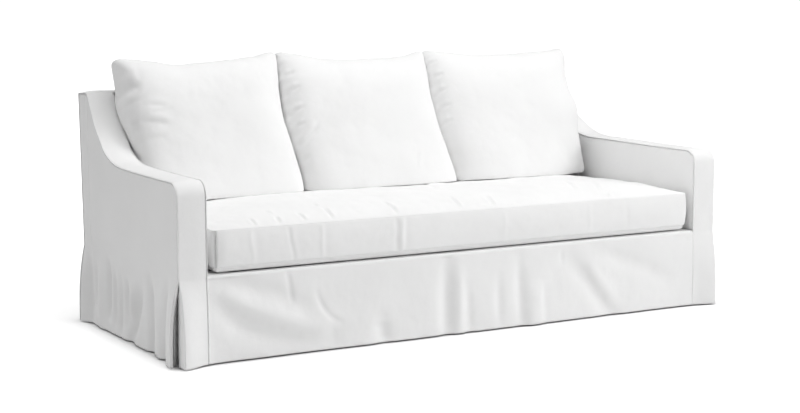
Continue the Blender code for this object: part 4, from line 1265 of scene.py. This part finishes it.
# ============================================================ the studio
def studio():
    bpy.ops.mesh.primitive_plane_add(size=60, location=(0, 0, -0.005))
    floor = bpy.context.object
    floor.name = "floor"
    mat = bpy.data.materials.new("floor")
    mat.use_nodes = True
    nt = mat.node_tree
    link = nt.links.new
    bsdf = nt.nodes["Principled BSDF"]
    bsdf.inputs["Base Color"].default_value = (0.95, 0.95, 0.95, 1)
    bsdf.inputs["Roughness"].default_value = 1.0
    bsdf.inputs["Specular IOR Level"].default_value = 0.0
    bsdf.inputs["Emission Color"].default_value = (1, 1, 1, 1)

    def maths(op, a, b=None):
        node = nt.nodes.new("ShaderNodeMath")
        node.operation = op
        for k, v in enumerate((a, b)):
            if isinstance(v, (int, float)):
                node.inputs[k].default_value = v
            elif v is not None:
                link(v, node.inputs[k])
        return node.outputs[0]

    # painted light: the white floor glows for the camera alone, with no glow at the cover's footprint, which leaves a
    # painted shadow round and under the hem
    where = nt.nodes.new("ShaderNodeTexCoord")
    split = nt.nodes.new("ShaderNodeSeparateXYZ")
    link(where.outputs["Object"], split.inputs[0])
    dx = maths("MAXIMUM", maths("SUBTRACT", maths("ABSOLUTE", split.outputs[0]), 1.150), 0.0)
    dy = maths("MAXIMUM", maths("SUBTRACT", maths("ABSOLUTE", maths("SUBTRACT", split.outputs[1], float(SHIFT[1]))), 0.468), 0.0)
    away = maths("SQRT", maths("ADD", maths("MULTIPLY", dx, dx), maths("MULTIPLY", dy, dy)))
    painted_floor_glow = maths("SUBTRACT", 1.0, maths("EXPONENT", maths("MULTIPLY", away, -1 / 0.035)))
    ray = nt.nodes.new("ShaderNodeLightPath")
    painted_floor_glow = maths("MULTIPLY", painted_floor_glow, ray.outputs["Is Camera Ray"])
    # the painted glow grows further from the cover, so the painted shadow fades out
    far = maths("SUBTRACT", 1.0, maths("EXPONENT", maths("MULTIPLY", maths("MULTIPLY", away, away), -0.25)))
    painted_floor_glow = maths("MULTIPLY", painted_floor_glow, maths("ADD", 0.50, maths("MULTIPLY", far, 0.54)))
    link(painted_floor_glow, bsdf.inputs["Emission Strength"])
    floor.data.materials.append(mat)

    world = bpy.data.worlds.new("studio")
    world.use_nodes = True
    nt = world.node_tree
    background = nt.nodes["Background"]
    background.inputs["Color"].default_value = (1, 1, 1, 1)
    background.inputs["Strength"].default_value = 0.02
    white = nt.nodes.new("ShaderNodeBackground")
    white.inputs["Color"].default_value = (1, 1, 1, 1)
    white.inputs["Strength"].default_value = 1.05
    mix = nt.nodes.new("ShaderNodeMixShader")
    path = nt.nodes.new("ShaderNodeLightPath")
    nt.links.new(path.outputs["Is Camera Ray"], mix.inputs[0])
    nt.links.new(background.outputs[0], mix.inputs[1])
    nt.links.new(white.outputs[0], mix.inputs[2])
    nt.links.new(mix.outputs[0], nt.nodes["World Output"].inputs["Surface"])
    bpy.context.scene.world = world

    from mathutils import Vector

    def lamp(name, kind, energy, spread, direction, place=(0, 0, 0)):
        light = bpy.data.lights.new(name, kind)
        light.energy = energy
        if kind == "SUN":
            light.angle = math.radians(spread)
        else:
            light.size = spread
        obj = bpy.data.objects.new(name, light)
        obj.location = place
        obj.rotation_euler = Vector(direction).to_track_quat("Z", "Y").to_euler()
        bpy.context.scene.collection.objects.link(obj)

    lamp("overhead", "SUN", 0.56, 100, (0, 0, 1))
    lamp("left_fill", "SUN", 1.02, 70, (-0.80, 0.45, 0.40))
    lamp("softbox_top", "AREA", 105.0, 4.0, (0, -1.2, 3.8), (0, -1.2, 4.2))
    lamp("right_key", "SUN", 0.62, 40, (3.2, -3.0, 2.0))
    lamp("softbox_right", "AREA", 51.0, 2.2, (3.2, -3.0, 2.0), (3.4, -3.0, 2.4))

    cam = bpy.data.cameras.new("camera")
    cam.sensor_width = 36
    cam.lens = 36 * 1610.9124 / 800
    cam.clip_start, cam.clip_end = 0.1, 200
    obj = bpy.data.objects.new("camera", cam)
    obj.location = np.array([-3.1310, -5.3463, 1.2283]) + SHIFT
    obj.rotation_euler = (math.pi / 2 - 0.1313, 0, -0.5252)
    bpy.context.scene.collection.objects.link(obj)
    bpy.context.scene.camera = obj
    bpy.context.scene.view_settings.view_transform = "Standard"
    bpy.context.scene.view_settings.look = "None"


studio()
